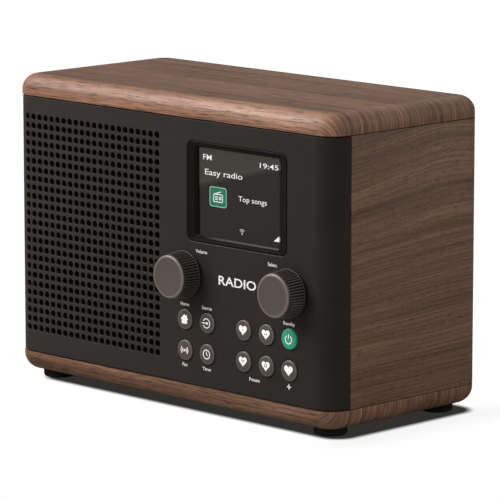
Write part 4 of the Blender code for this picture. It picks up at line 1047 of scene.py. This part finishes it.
def cap(name):
    node = "button_" + name
    x, _, z = middle(node)
    back = SKIN - mm_box(node)[1][1]
    profile = [(0, CAP_OUT)] + [(r, crown(r, 0)) for r in (3.1, 3.4, 3.7, 4.0, 4.2)]
    top = crown(4.4, 0)
    profile += [(4.4 + 0.55 * math.sin(math.radians(a)), top - 0.55 + 0.55 * math.cos(math.radians(a)))
                for a in (10, 25, 40, 55, 70, 90)]
    profile += [(CAP_R, -1.0), (CAP_R, -3.3), (5.9, -3.3), (5.9, -4.1), (2.0, -4.1), (2.0, back + 0.2), (1.8, back), (0, back)]
    obj = turned("cap_" + name, profile, (x, SKIN, z), "-Y", 64, GREEN if name == "standby" else CAP, node, node,
                 "standby_green" if name == "standby" else "button_plastic", angle=40)
    if name != "standby":
        obj.data.materials.append(CAP_RIM_HIGHLIGHT)
        # Painted highlight: the cap's rounded front rim gets the paler material.
        for face in obj.data.polygons:
            r = math.hypot(face.center.x / MM - x, face.center.z / MM - z)
            if r > 4.3 and face.normal.y < -0.25 and face.center.y / MM < SKIN:
                face.material_index = 1
    return x, z, node


def heart(size, steps=40):
    points = []
    for i in range(steps):
        t = 2 * math.pi * i / steps
        points.append((size * 16 * math.sin(t) ** 3 / 16,
                       size * (13 * math.cos(t) - 5 * math.cos(2 * t) - 2 * math.cos(3 * t) - math.cos(4 * t) + 2.2) / 16))
    return points[::-1]


def thick_line(points, width):
    """A closed outline round an open line, square ended."""
    left_side, right_side = [], []
    for i, p in enumerate(points):
        a, b = points[max(i - 1, 0)], points[min(i + 1, len(points) - 1)]
        dx, dy = b[0] - a[0], b[1] - a[1]
        n = math.hypot(dx, dy)
        nx, ny = -dy / n * width / 2, dx / n * width / 2
        left_side.append((p[0] + nx, p[1] + ny))
        right_side.append((p[0] - nx, p[1] - ny))
    return left_side + right_side[::-1]


pips = {"preset_1": [(0, 0)], "preset_2": [(-0.62, 0), (0.62, 0)], "preset_3": [(-0.6, 0.45), (0.6, 0.45), (0, -0.5)],
        "preset_4": [(-0.55, 0.5), (0.55, 0.5), (-0.55, -0.45), (0.55, -0.45)]}
icons = {
    "home": [[(-2.6, 0.0), (0, 2.5), (1.15, 1.4), (1.15, 2.1), (1.75, 2.1), (1.75, 0.82), (2.6, 0.0), (1.8, 0.0), (1.8, -2.1),
              (-1.8, -2.1), (-1.8, 0.0)]],
    "source": [arc_band(0, 0, 2.2, 0.42, 205, 515, 40), thick_line([(-3.0, 0), (0.1, 0)], 0.42), [(0.1, 0.85), (1.25, 0.0), (0.1, -0.85)]],
    "pair": [circle(0, 0, 0.55, 20), *[arc_band(0, 0, r, 0.42, a - 42, a + 42, 14) for r in (1.3, 2.3) for a in (0, 180)]],
    "timer": [circle(0, 0, 2.35, 48), circle(0, 0, 1.93, 48)[::-1], [(-0.21, 0.0), (-0.21, 1.35), (0.21, 1.35), (0.21, 0.2), (1.1, -0.4), (0.9, -0.72), (0.0, -0.14)]],
    "standby": [arc_band(0, -0.15, 2.0, 0.46, 125, 415, 40), [(-0.23, 0.2), (0.23, 0.2), (0.23, 2.35), (-0.23, 2.35)]],
    "favourite": [heart(2.75)],
}
for key, dots in pips.items():
    icons[key] = [heart(2.6)] + [circle(dx, dy + 0.25, 0.40, 14)[::-1] for dx, dy in dots]
for name in BUTTONS:
    x, z, node = cap(name)
    on_front("icon_" + name, shape_mesh(icons[name], 0.03), ICON_INK, x, z, SKIN, node,
             lift=lambda px, pz: CAP_OUT - 0.012)

# ------------------------------------------------------------------ feet
for name in ("front_left", "front_right", "rear_left", "rear_right"):
    x, y, _ = middle("foot_" + name)
    foot_r = (mm_box("foot_" + name)[1][0] - mm_box("foot_" + name)[0][0]) / 2
    turned("pad_" + name, [(0, BASE_Z - 0.3), (foot_r - 0.15, BASE_Z - 0.3), (foot_r, BASE_Z - 0.5), (foot_r, 1.1), (foot_r - 0.15, 0.55), (foot_r - 0.45, 0.2),
                           (foot_r - 0.95, 0.0), (foot_r - 2.15, 0.0), (foot_r - 2.45, 0.35), (0, 0.35)], (x, y, 0), "+Z", 64, RUBBER, "case", "foot_" + name, "foot_rubber", angle=40)

# ------------------------------------------------------------------ speaker, behind the grille
speaker_at = (SPEAKER_X, SPEAKER_Y, SPEAKER_Z)


def behind(points):
    return [(r, -h) for r, h in points]


turned("driver_frame", behind([(33.4, 0), (42.7, 0), (43, 0.3), (43, 1.5), (35.2, 1.5), (22, 18.5), (10.5, 18.5), (10.5, 17.0), (20.8, 17.0), (33.4, 1.5)]),
       speaker_at, "-Y", 96, STEEL, "case", "speaker_frame", "zinc_steel", ring=True)
roll = [(30.4, 1.9), (30.7, 0.3), (31.0, -0.6), (31.5, -1.4), (32.2, -1.75), (32.9, -1.6), (33.4, -1.2), (33.9, -1.0), (35.4, -1.0), (35.4, -0.3), (34.1, -0.3), (33.3, -0.45),
        (32.5, -1.0), (32.0, -0.7), (31.7, 0.1), (31.3, 1.3), (31.1, 2.5), (30.4, 2.6)]
turned("driver_surround", behind(roll), speaker_at, "-Y", 96, RUBBER, "case", "speaker_surround", "foot_rubber", ring=True)
cone = [(0, 9.0), (2.5, 9.2), (5, 9.9), (6.8, 11.0), (8, 12.0)] + [(8 + 22 * i / 10, 12.0 - 9.8 * i / 10 + (0.12 if i % 2 else 0)) for i in range(1, 11)]
cone += [(30, 3.0), (8.2, 13.2), (7.8, 14.0), (7.8, 26.0), (7.1, 26.0), (7.1, 13.0), (4.6, 10.9), (0, 10.0)]
turned("driver_cone", behind(cone), speaker_at, "-Y", 96, PAPER, "speaker_cone", "speaker_cone", "speaker_paper")
turned("driver_magnet", behind([(0, 18.8), (6.7, 18.8), (6.7, 28.0), (8.2, 28.0), (8.2, 18.8), (20.6, 18.8), (21, 19.2), (21, 31.1), (20.6, 31.5), (0, 31.5)]),
       speaker_at, "-Y", 72, FERRITE, "case", "speaker_magnet", "magnet_ferrite")
for k in range(4):
    x, _, z = middle(f"speaker_screw_{k + 1}")
    turned(f"driver_screw_{k + 1}", [(0, 3.3), (0.9, 3.6), (1.8, 3.5), (2.5, 3.0), (2.7, 2.4), (2.7, 1.8), (1.35, 1.8), (1.35, -2.8), (0.4, -3.2), (0, -3.2)],
           (x, SPEAKER_Y, z), "+Y", 32, STEEL, "case", f"speaker_screw_{k + 1}", "zinc_steel")

# ------------------------------------------------------------------ rear cover
def on_cover(s, z, d):
    """The rear cover seen from behind: s runs to the viewer's right, which is -X."""
    return (-s, COVER_Y - d, z)


lo, hi = mm_box("rear_cover")
cover_w, cover_z0, cover_z1 = hi[0], lo[2], hi[2]
cover = Plate(on_cover)
zc, zh = (cover_z0 + cover_z1) / 2, cover_z1 - cover_z0
cover_outer = [(rounded(2 * cover_w - 0.8, zh - 0.8, 2.6, 8, 0, zc), 0.0), (rounded(2 * cover_w - 0.24, zh - 0.24, 2.9, 8, 0, zc), 0.12),
               (rounded(2 * cover_w, zh, 3.0, 8, 0, zc), 0.4), (rounded(2 * cover_w, zh, 3.0, 8, 0, zc), 3.0)]
cover_holes = []
for node in SCREWS:
    x, _, z = middle(node)
    cover_holes.append([(circle(-x, z, 3.9, 40), 0.0), (circle(-x, z, 3.7, 40), 0.1), (circle(-x, z, 3.65, 40), 0.14), (circle(-x, z, 1.8, 40), 0.14), (circle(-x, z, 1.8, 40), 3.0)])
cover_holes.append(hole_stack(lambda g: rounded(10 + 2 * g, 12 + 2 * g, 1.0 + g, 6, -DC_X, SOCKET_Z), 0.0, 3.0, 0.4))
cover_holes.append(hole_stack(lambda g: circle(-JACK_X, SOCKET_Z, 4.0 + g, 48), 0.0, 3.0, 0.4))
cover_holes.append(hole_stack(lambda g: circle(-AERIAL_X, AERIAL_Z, 3.0 + g, 40), 0.0, 3.0))
for k in range(5):
    z = SPEAKER_Z + (k - 2) * 7
    cover_holes.append(hole_stack(lambda g, z=z: rounded(44 + 2 * g, 2.6 + 2 * g, 1.29 + g, 8, -SPEAKER_X, z), 0.0, 3.0, 0.25))
cover.build(cover_outer, cover_holes)
print("cover volume", volume_of(cover.verts, cover.faces))
piece("rear_panel", cover.verts, cover.faces, REAR, "case", "rear_cover", "rear_plastic", angle=28)
parts = []
for x in (24.0, 82.0):
    for z in (24.0, 92.0):
        parts.append(turned_mesh([(0, 11.6), (1.1, 11.6), (1.3, 11.4), (1.3, 8.7), (3.0, 8.7), (3.0, 0.5), (3.5, 0.02), (0, 0.02)], (x, COVER_Y0, z), "-Y", 24))
piece("rear_posts", *merged(parts), REAR, "case", slot="rear_plastic")

# Raised marks beside the sockets, and a shallow raised frame round them.
mark_y = COVER_Y


def on_back(name, mesh, mat, x, z, y, body="case"):
    for v in mesh.vertices:
        v.co = ((x - v.co.x) * MM, (y + v.co.z) * MM, (z + v.co.y) * MM)
    mesh.update()
    mesh.name = name
    return settle(bpy.data.objects.new(name, mesh), mat, body, ())


on_back("socket_frame", shape_mesh([rounded(44, 26, 3.0, 8), rounded(43, 25, 2.5, 8)[::-1]], 0.25), REAR, 51.0, 37.0, mark_y)
dc_mark = [arc_band(-0.2, 0, 1.3, 0.34, 50, 310, 24), circle(-0.2, 0, 0.5, 20), rounded(2.6, 0.34, 0.1, 3, 1.9, 0), rounded(2.6, 0.34, 0.1, 3, -3.2, 0),
           rounded(1.2, 0.34, 0.1, 3, 4.4, 0), rounded(0.34, 1.2, 0.1, 3, 4.4, 0.77), rounded(0.34, 1.2, 0.1, 3, 4.4, -0.77), rounded(1.2, 0.34, 0.1, 3, -5.6, 0)]
on_back("mark_power", shape_mesh(dc_mark, 0.06), INK, DC_X, 44.6, mark_y)
phones = [arc_band(0, -0.3, 1.9, 0.4, 0, 180, 24), rounded(0.9, 1.7, 0.3, 4, -1.8, -1.0), rounded(0.9, 1.7, 0.3, 4, 1.8, -1.0)]
on_back("mark_phones", shape_mesh(phones, 0.06), INK, JACK_X, 44.6, mark_y)


def cross_screw(name, node):
    """A domed head with a cross recess, cut from its real thickness."""
    x, _, z = middle(node)
    verts, faces = turned_mesh([(0, 1.75), (1.0, 1.7), (2.0, 1.45), (2.6, 1.05), (2.95, 0.6), (3.0, 0.35), (2.9, 0.15), (1.45, 0.15), (1.45, -0.4),
                                *[(1.45 - 0.25 * (k % 2), -0.8 - 0.55 * k) for k in range(22)], (0.3, -14.0), (0, -14.2)],
                               (x, COVER_Y, z), "+Y", 40)
    obj = piece(name, verts, faces, STEEL, "case", node, "zinc_steel", angle=35)
    bm = bmesh.new()
    for w, h in ((3.1, 0.62), (0.62, 3.1)):
        out = bmesh.ops.create_cube(bm, size=1.0)["verts"]
        for v in out:
            narrow = 0.45 if v.co.y < 0 else 1.0
            v.co = ((x + v.co.x * w * narrow) * MM, (COVER_Y + 1.3 + v.co.y * 1.4) * MM, (z + v.co.z * h * (0.8 if narrow < 1 else 1.0) * (narrow if h > w else 1)) * MM)
    mesh = bpy.data.meshes.new(name + "_cross")
    bm.to_mesh(mesh)
    bm.free()
    tool = bpy.data.objects.new(name + "_cross", mesh)
    bpy.context.scene.collection.objects.link(tool)
    cutting(obj, [tool], use_self=True)
    return obj


def cutting(obj, tools, use_self=False, operation="DIFFERENCE"):
    """Applies Booleans with these objects, and removes them."""
    for tool in tools:
        mod = obj.modifiers.new("cut", "BOOLEAN")
        mod.operation = operation
        mod.object = tool
        mod.solver = "EXACT"
        mod.use_self = use_self
    bpy.context.view_layer.update()
    graph = bpy.context.evaluated_depsgraph_get()
    mesh = bpy.data.meshes.new_from_object(obj.evaluated_get(graph))
    mat = obj.data.materials[0]
    obj.modifiers.clear()
    obj.data = mesh
    bm = bmesh.new()
    bm.from_mesh(mesh)
    bmesh.ops.remove_doubles(bm, verts=bm.verts, dist=1e-7)
    bmesh.ops.dissolve_degenerate(bm, edges=bm.edges, dist=1e-7)
    bm.to_mesh(mesh)
    bm.free()
    mesh.materials.clear()
    mesh.materials.append(mat)
    mesh.shade_smooth()
    mesh.set_sharp_from_angle(angle=math.radians(35))
    for tool in tools:
        bpy.data.objects.remove(tool, do_unlink=True)
    return obj


for node in SCREWS:
    cross_screw("rear_" + node[6:], node)


def tool_from(verts, faces, name="tool"):
    if volume_of(verts, faces) < 0:
        faces = [tuple(reversed(f)) for f in faces]
    mesh = bpy.data.meshes.new(name)
    mesh.from_pydata([(x * MM, y * MM, z * MM) for x, y, z in verts], [], faces)
    obj = bpy.data.objects.new(name, mesh)
    bpy.context.scene.collection.objects.link(obj)
    return obj


def block_of(x0, x1, y0, y1, z0, z1, axis, radius, steps=6, lip=0.0):
    """Points and faces of a block whose edges along one axis are rounded, with a small
    chamfer of size lip at both ends."""
    lo_, hi_ = (x0, y0, z0), (x1, y1, z1)
    a, b = [i for i in range(3) if i != axis]
    levels = [(lip, lo_[axis]), (0, lo_[axis] + lip), (0, hi_[axis] - lip), (lip, hi_[axis])] if lip else [(0, lo_[axis]), (0, hi_[axis])]
    loops = []
    for inset, level in levels:
        loop = []
        for p, q in rounded(hi_[a] - lo_[a] - 2 * inset, hi_[b] - lo_[b] - 2 * inset, radius - inset, steps,
                            (lo_[a] + hi_[a]) / 2, (lo_[b] + hi_[b]) / 2):
            point = [0, 0, 0]
            point[a], point[b], point[axis] = p, q, level
            loop.append(tuple(point))
        loops.append(loop)
    return loft(loops, (True, True))


# ------------------------------------------------------------------ sockets
lo, hi = mm_box("dc_socket")
inlet = piece("inlet_body", *block_of(lo[0], hi[0], lo[1], hi[1], lo[2], hi[2], 1, 0.8, 6, 0.25), SOCKET, "case", "dc_socket", "socket_plastic")
cutting(inlet, [tool_from(*turned_mesh([(0, 4), (3.6, 4), (3.6, 0.01), (3.2, -0.4), (3.2, -9), (1.35, -9), (1.35, -1.6), (1.0, -1.2), (0, -1.2)],
                                       (DC_X, hi[1], SOCKET_Z), "+Y", 48))])
turned("inlet_pin", [(0, -0.9), (0.6, -0.95), (0.95, -1.3), (0.98, -8.9), (0, -8.9)], (DC_X, hi[1], SOCKET_Z), "+Y", 32, BRASS, "case", slot="zinc_steel")
turned("inlet_sleeve", [(3.18, -1.0), (3.18, -8.8), (2.95, -8.8), (2.95, -1.1)], (DC_X, hi[1], SOCKET_Z), "+Y", 40, BRASS, "case", slot="zinc_steel", ring=True)
lo, hi = mm_box("headphone_socket")
jack_end = hi[1]
jack = piece("jack_body", *block_of(lo[0], hi[0], lo[1], COVER_Y0 - 0.8, lo[2], hi[2], 1, 0.5, 4, 0.2), SOCKET, "case", "headphone_socket", "socket_plastic")
cutting(jack, [tool_from(*turned_mesh([(0, -4), (3.4, -4), (3.4, jack_end - COVER_Y0 - 0.25), (3.15, jack_end - COVER_Y0), (0, jack_end - COVER_Y0)], (JACK_X, COVER_Y0, SOCKET_Z), "+Y", 48))], operation="UNION")
cutting(jack, [tool_from(*turned_mesh([(0, 4), (2.1, 4), (2.1, 0.02), (1.8, -0.3), (1.8, -10), (0, -10)], (JACK_X, jack_end, SOCKET_Z), "+Y", 40))])
turned("jack_ring", [(1.85, -0.2), (2.05, 0.12), (2.9, 0.12), (3.05, -0.05), (3.05, -0.2)][::-1], (JACK_X, jack_end, SOCKET_Z), "+Y", 48, BRASS, "case", slot="zinc_steel", ring=True)

# ------------------------------------------------------------------ aerial
turned("aerial_base", [(0, 1.2), (4.3, 1.2), (4.4, 1.1), (4.4, 0.95), (6.6, 0.9), (6.95, 0.75), (7.2, 0.3), (2.7, 0.3), (2.7, -6.0), (0, -6.0)],
       (AERIAL_X, COVER_Y, AERIAL_Z), "+Y", 64, SOCKET, "case", "antenna_base", "socket_plastic")
lo, hi = mm_box("antenna_swivel")
swivel = turned("aerial_swivel", [(0, 0.9), (4.2, 0.9), (4.5, 0.6), (4.5, 0.15), (4.35, 0), (0, 0)], (AERIAL_X, COVER_Y + 1.5, AERIAL_Z), "+Y", 64, CHROME,
                "antenna_head", "antenna_swivel", "aerial_chrome")
ears = [tool_from(*block_of(AERIAL_X - 4, AERIAL_X + 4, COVER_Y + 1.8, hi[1], AERIAL_Z + s * 3.1 - 0.9, AERIAL_Z + s * 3.1 + 0.9, 2, 3.2, 10, 0.15)) for s in (-1, 1)]
cutting(swivel, ears, operation="UNION")
cutting(swivel, [tool_from(*turned_mesh([(0, 12), (1.15, 12), (1.15, 0), (0, 0)], (AERIAL_X, AERIAL_Y, AERIAL_Z - 6), "+Z", 24))])
turned("aerial_pin", [(0, 8), (0.7, 8), (0.95, 7.75), (0.95, 0.25), (0.7, 0), (0, 0)], (AERIAL_X, AERIAL_Y, AERIAL_Z - 4), "+Z", 32, STEEL, "antenna_head", "antenna_pin", "zinc_steel")
joint = turned("aerial_joint", [(0, 5.5), (2.9, 5.5), (3.2, 5.2), (3.2, 0.3), (2.9, 0), (0, 0)], (AERIAL_X - 6.5, AERIAL_Y, AERIAL_Z), "-X", 48, CHROME,
               "antenna_arm", "antenna_joint", "aerial_chrome")
cutting(joint, [tool_from(*block_of(AERIAL_X - 8, AERIAL_X + 3.3, AERIAL_Y - 3.3, AERIAL_Y + 3.3, AERIAL_Z - 1.8, AERIAL_Z + 1.8, 2, 3.2, 10, 0.12))], operation="UNION")
cutting(joint, [tool_from(*turned_mesh([(0, 12), (1.15, 12), (1.15, 0), (0, 0)], (AERIAL_X, AERIAL_Y, AERIAL_Z - 6), "+Z", 24))])
tube_x = mm_box("antenna_section_1")[1][0]


def tube(name, node, body, outer_r, inner_r, x0, x1):
    """A tube whose end is rolled in a little round the next one."""
    turned(name, [(outer_r - 0.15, x1), (outer_r, x1 - 0.3), (outer_r, x0 + 0.1), (outer_r - 0.1, x0), (inner_r, x0), (inner_r, x1)],
           (tube_x, AERIAL_Y, AERIAL_Z), "-X", 40, CHROME, body, node, "aerial_chrome", ring=True)


tube("aerial_tube_1", "antenna_section_1", "antenna_arm", 3.2, 2.75, 0, 136.0)
tube("aerial_tube_2", "antenna_section_2", "antenna_section_2", 2.55, 2.1, 1.5, 137.2)
tube("aerial_tube_3", "antenna_section_3", "antenna_section_3", 1.9, 1.45, 3.0, 138.4)
turned("aerial_tube_4", [(0, 144.4), (1.2, 144.35), (2.2, 144.1), (2.9, 143.6), (3.1, 143.0), (3.1, 140.2), (2.9, 139.6), (2.3, 139.1), (1.25, 138.9), (1.25, 4.5), (0, 4.5)],
       (tube_x, AERIAL_Y, AERIAL_Z), "-X", 40, CHROME, "antenna_section_4", "antenna_section_4", "aerial_chrome")
lo, hi = mm_box("antenna_clip")
clip_x = (lo[0] + hi[0]) / 2
clip = piece("aerial_clip", *block_of(clip_x - 4, clip_x + 4, COVER_Y + 0.3, hi[1], AERIAL_Z - 6, AERIAL_Z - 3.5, 0, 0.6, 5, 0.4), REAR, "case", "antenna_clip", "rear_plastic")
cutting(clip, [tool_from(*block_of(clip_x - 6.5, clip_x + 6.5, COVER_Y + 0.3, COVER_Y + 1.6, AERIAL_Z - 10, AERIAL_Z + 4, 1, 2.0, 8, 0.2))], operation="UNION")

# ------------------------------------------------------------------ floor
mesh = bpy.data.meshes.new("floor")
bm = bmesh.new()
bmesh.ops.create_grid(bm, x_segments=8, y_segments=8, size=9.0)
bm.to_mesh(mesh)
bm.free()
floor = bpy.data.objects.new("floor", mesh)
bpy.context.scene.collection.objects.link(floor)
floor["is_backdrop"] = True
m = Nodes("studio_floor")
ray = m.node("ShaderNodeLightPath")
# How far outside the cabinet's outline a point of the floor is, in metres.
place = m.node("ShaderNodeSeparateXYZ", {"Vector": m.object_space()})
over = [m.math("SUBTRACT", m.math("ABSOLUTE", m.math("SUBTRACT", place.outputs[i], c * MM)), (half - CORNER) * MM)
        for i, (c, half) in enumerate(((5.0, HALF - 5.0), ((F + R) / 2 + 2.2, (R - F) / 2 - 2.2)))]
outside = m.math("SQRT", m.math("ADD", *[m.math("POWER", m.math("MAXIMUM", v, 0.0), 2.0) for v in over]))
outside = m.math("SUBTRACT", m.math("ADD", outside, m.math("MINIMUM", m.math("MAXIMUM", *over), 0.0)), CORNER * MM)
# Painted shadow: for camera rays the floor glows white, with a dark patch painted under the cabinet's outline fading
# out over a few mm, and a faint grey veil painted beyond its right side.
clear = m.ramp(m.span(outside, 0.0, 1.0, -0.0036, 0.0022), (0.0, 0.0), (1.0, 1.0), ease=True)
faint = m.span(outside, 0.86, 1.0, 0.0, 0.030)
aside = m.span(place.outputs[0], 0.0, 1.0, 0.090, 0.115)
painted_side_shadow = m.math("MULTIPLY_ADD", m.math("SUBTRACT", faint, 1.0), aside, 1.0)
shown = m.mix(clear, (0.0320, 0.0300, 0.0270), m.mix(painted_side_shadow, (0.0, 0.0, 0.0), (1.03, 1.03, 1.03)))
seen = m.mix(ray.outputs["Is Glossy Ray"], (0.52, 0.51, 0.50), (0.14, 0.14, 0.14))
m.tree.nodes.remove(m.shader)
diffuse = m.node("ShaderNodeBsdfDiffuse", {"Color": seen})
floor_with_painted_shadow = m.node("ShaderNodeEmission", {"Color": shown})
both = m.node("ShaderNodeMixShader")
m.tree.links.new(ray.outputs["Is Camera Ray"], both.inputs[0])
m.tree.links.new(diffuse.outputs[0], both.inputs[1])
m.tree.links.new(floor_with_painted_shadow.outputs[0], both.inputs[2])
m.tree.links.new(both.outputs[0], m.tree.nodes["Material Output"].inputs["Surface"])
mesh.materials.append(m.mat)

# ------------------------------------------------------------------ light
world = bpy.data.worlds.new("studio")
bpy.context.scene.world = world
world.use_nodes = True
tree = world.node_tree
background = tree.nodes["Background"]
ray = tree.nodes.new("ShaderNodeLightPath")
way = tree.nodes.new("ShaderNodeTexCoord")
up = tree.nodes.new("ShaderNodeSeparateXYZ")
tree.links.new(way.outputs["Generated"], up.inputs[0])
sky = tree.nodes.new("ShaderNodeMapRange")       # what glossy pieces see: brighter overhead
tree.links.new(up.outputs[2], sky.inputs["Value"])
for key, value in {"From Min": 0.20, "From Max": 0.75, "To Min": 0.12, "To Max": 0.60}.items():
    sky.inputs[key].default_value = value
glossy = tree.nodes.new("ShaderNodeMix")
tree.links.new(ray.outputs["Is Glossy Ray"], glossy.inputs[0])
glossy.inputs[2].default_value = 0.40
tree.links.new(sky.outputs["Result"], glossy.inputs[3])
strength = tree.nodes.new("ShaderNodeMix")
tree.links.new(ray.outputs["Is Camera Ray"], strength.inputs[0])
tree.links.new(glossy.outputs[0], strength.inputs[2])
strength.inputs[3].default_value = 1.0
tree.links.new(strength.outputs[0], background.inputs["Strength"])
background.inputs["Color"].default_value = (1.0, 1.0, 1.0, 1.0)

target = Vector((0.0, 0.0, 0.07))


def area(name, at, size, size_y, energy, colour=(1, 1, 1), to=target):
    data = bpy.data.lights.new(name, "AREA")
    data.shape = "RECTANGLE"
    data.size, data.size_y, data.energy, data.color = size, size_y, energy, colour
    obj = bpy.data.objects.new(name, data)
    bpy.context.scene.collection.objects.link(obj)
    obj.location = at
    obj.rotation_euler = (Vector(to) - Vector(at)).to_track_quat("-Z", "Y").to_euler()
    return obj


area("key", (-0.78, -0.76, 1.04), 1.45, 0.95, 21.5, (1.0, 0.985, 0.965))
area("fill", (0.95, 0.62, 0.52), 0.9, 0.6, 1.15, (1.0, 0.99, 0.97))

# ------------------------------------------------------------------ camera
camera = bpy.data.cameras.new("camera")
camera.lens, camera.sensor_width = 276.96, 36.0
camera.clip_start, camera.clip_end = 0.05, 40.0
cam = bpy.data.objects.new("camera", camera)
bpy.context.scene.collection.objects.link(cam)
cam.location = (1.29915, -1.29063, 0.39138)
cam.rotation_euler = Vector((-0.69735, 0.69562, -0.17273)).to_track_quat("-Z", "Y").to_euler()
bpy.context.scene.camera = cam
bpy.context.scene.view_settings.view_transform = "Standard"

lo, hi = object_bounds()
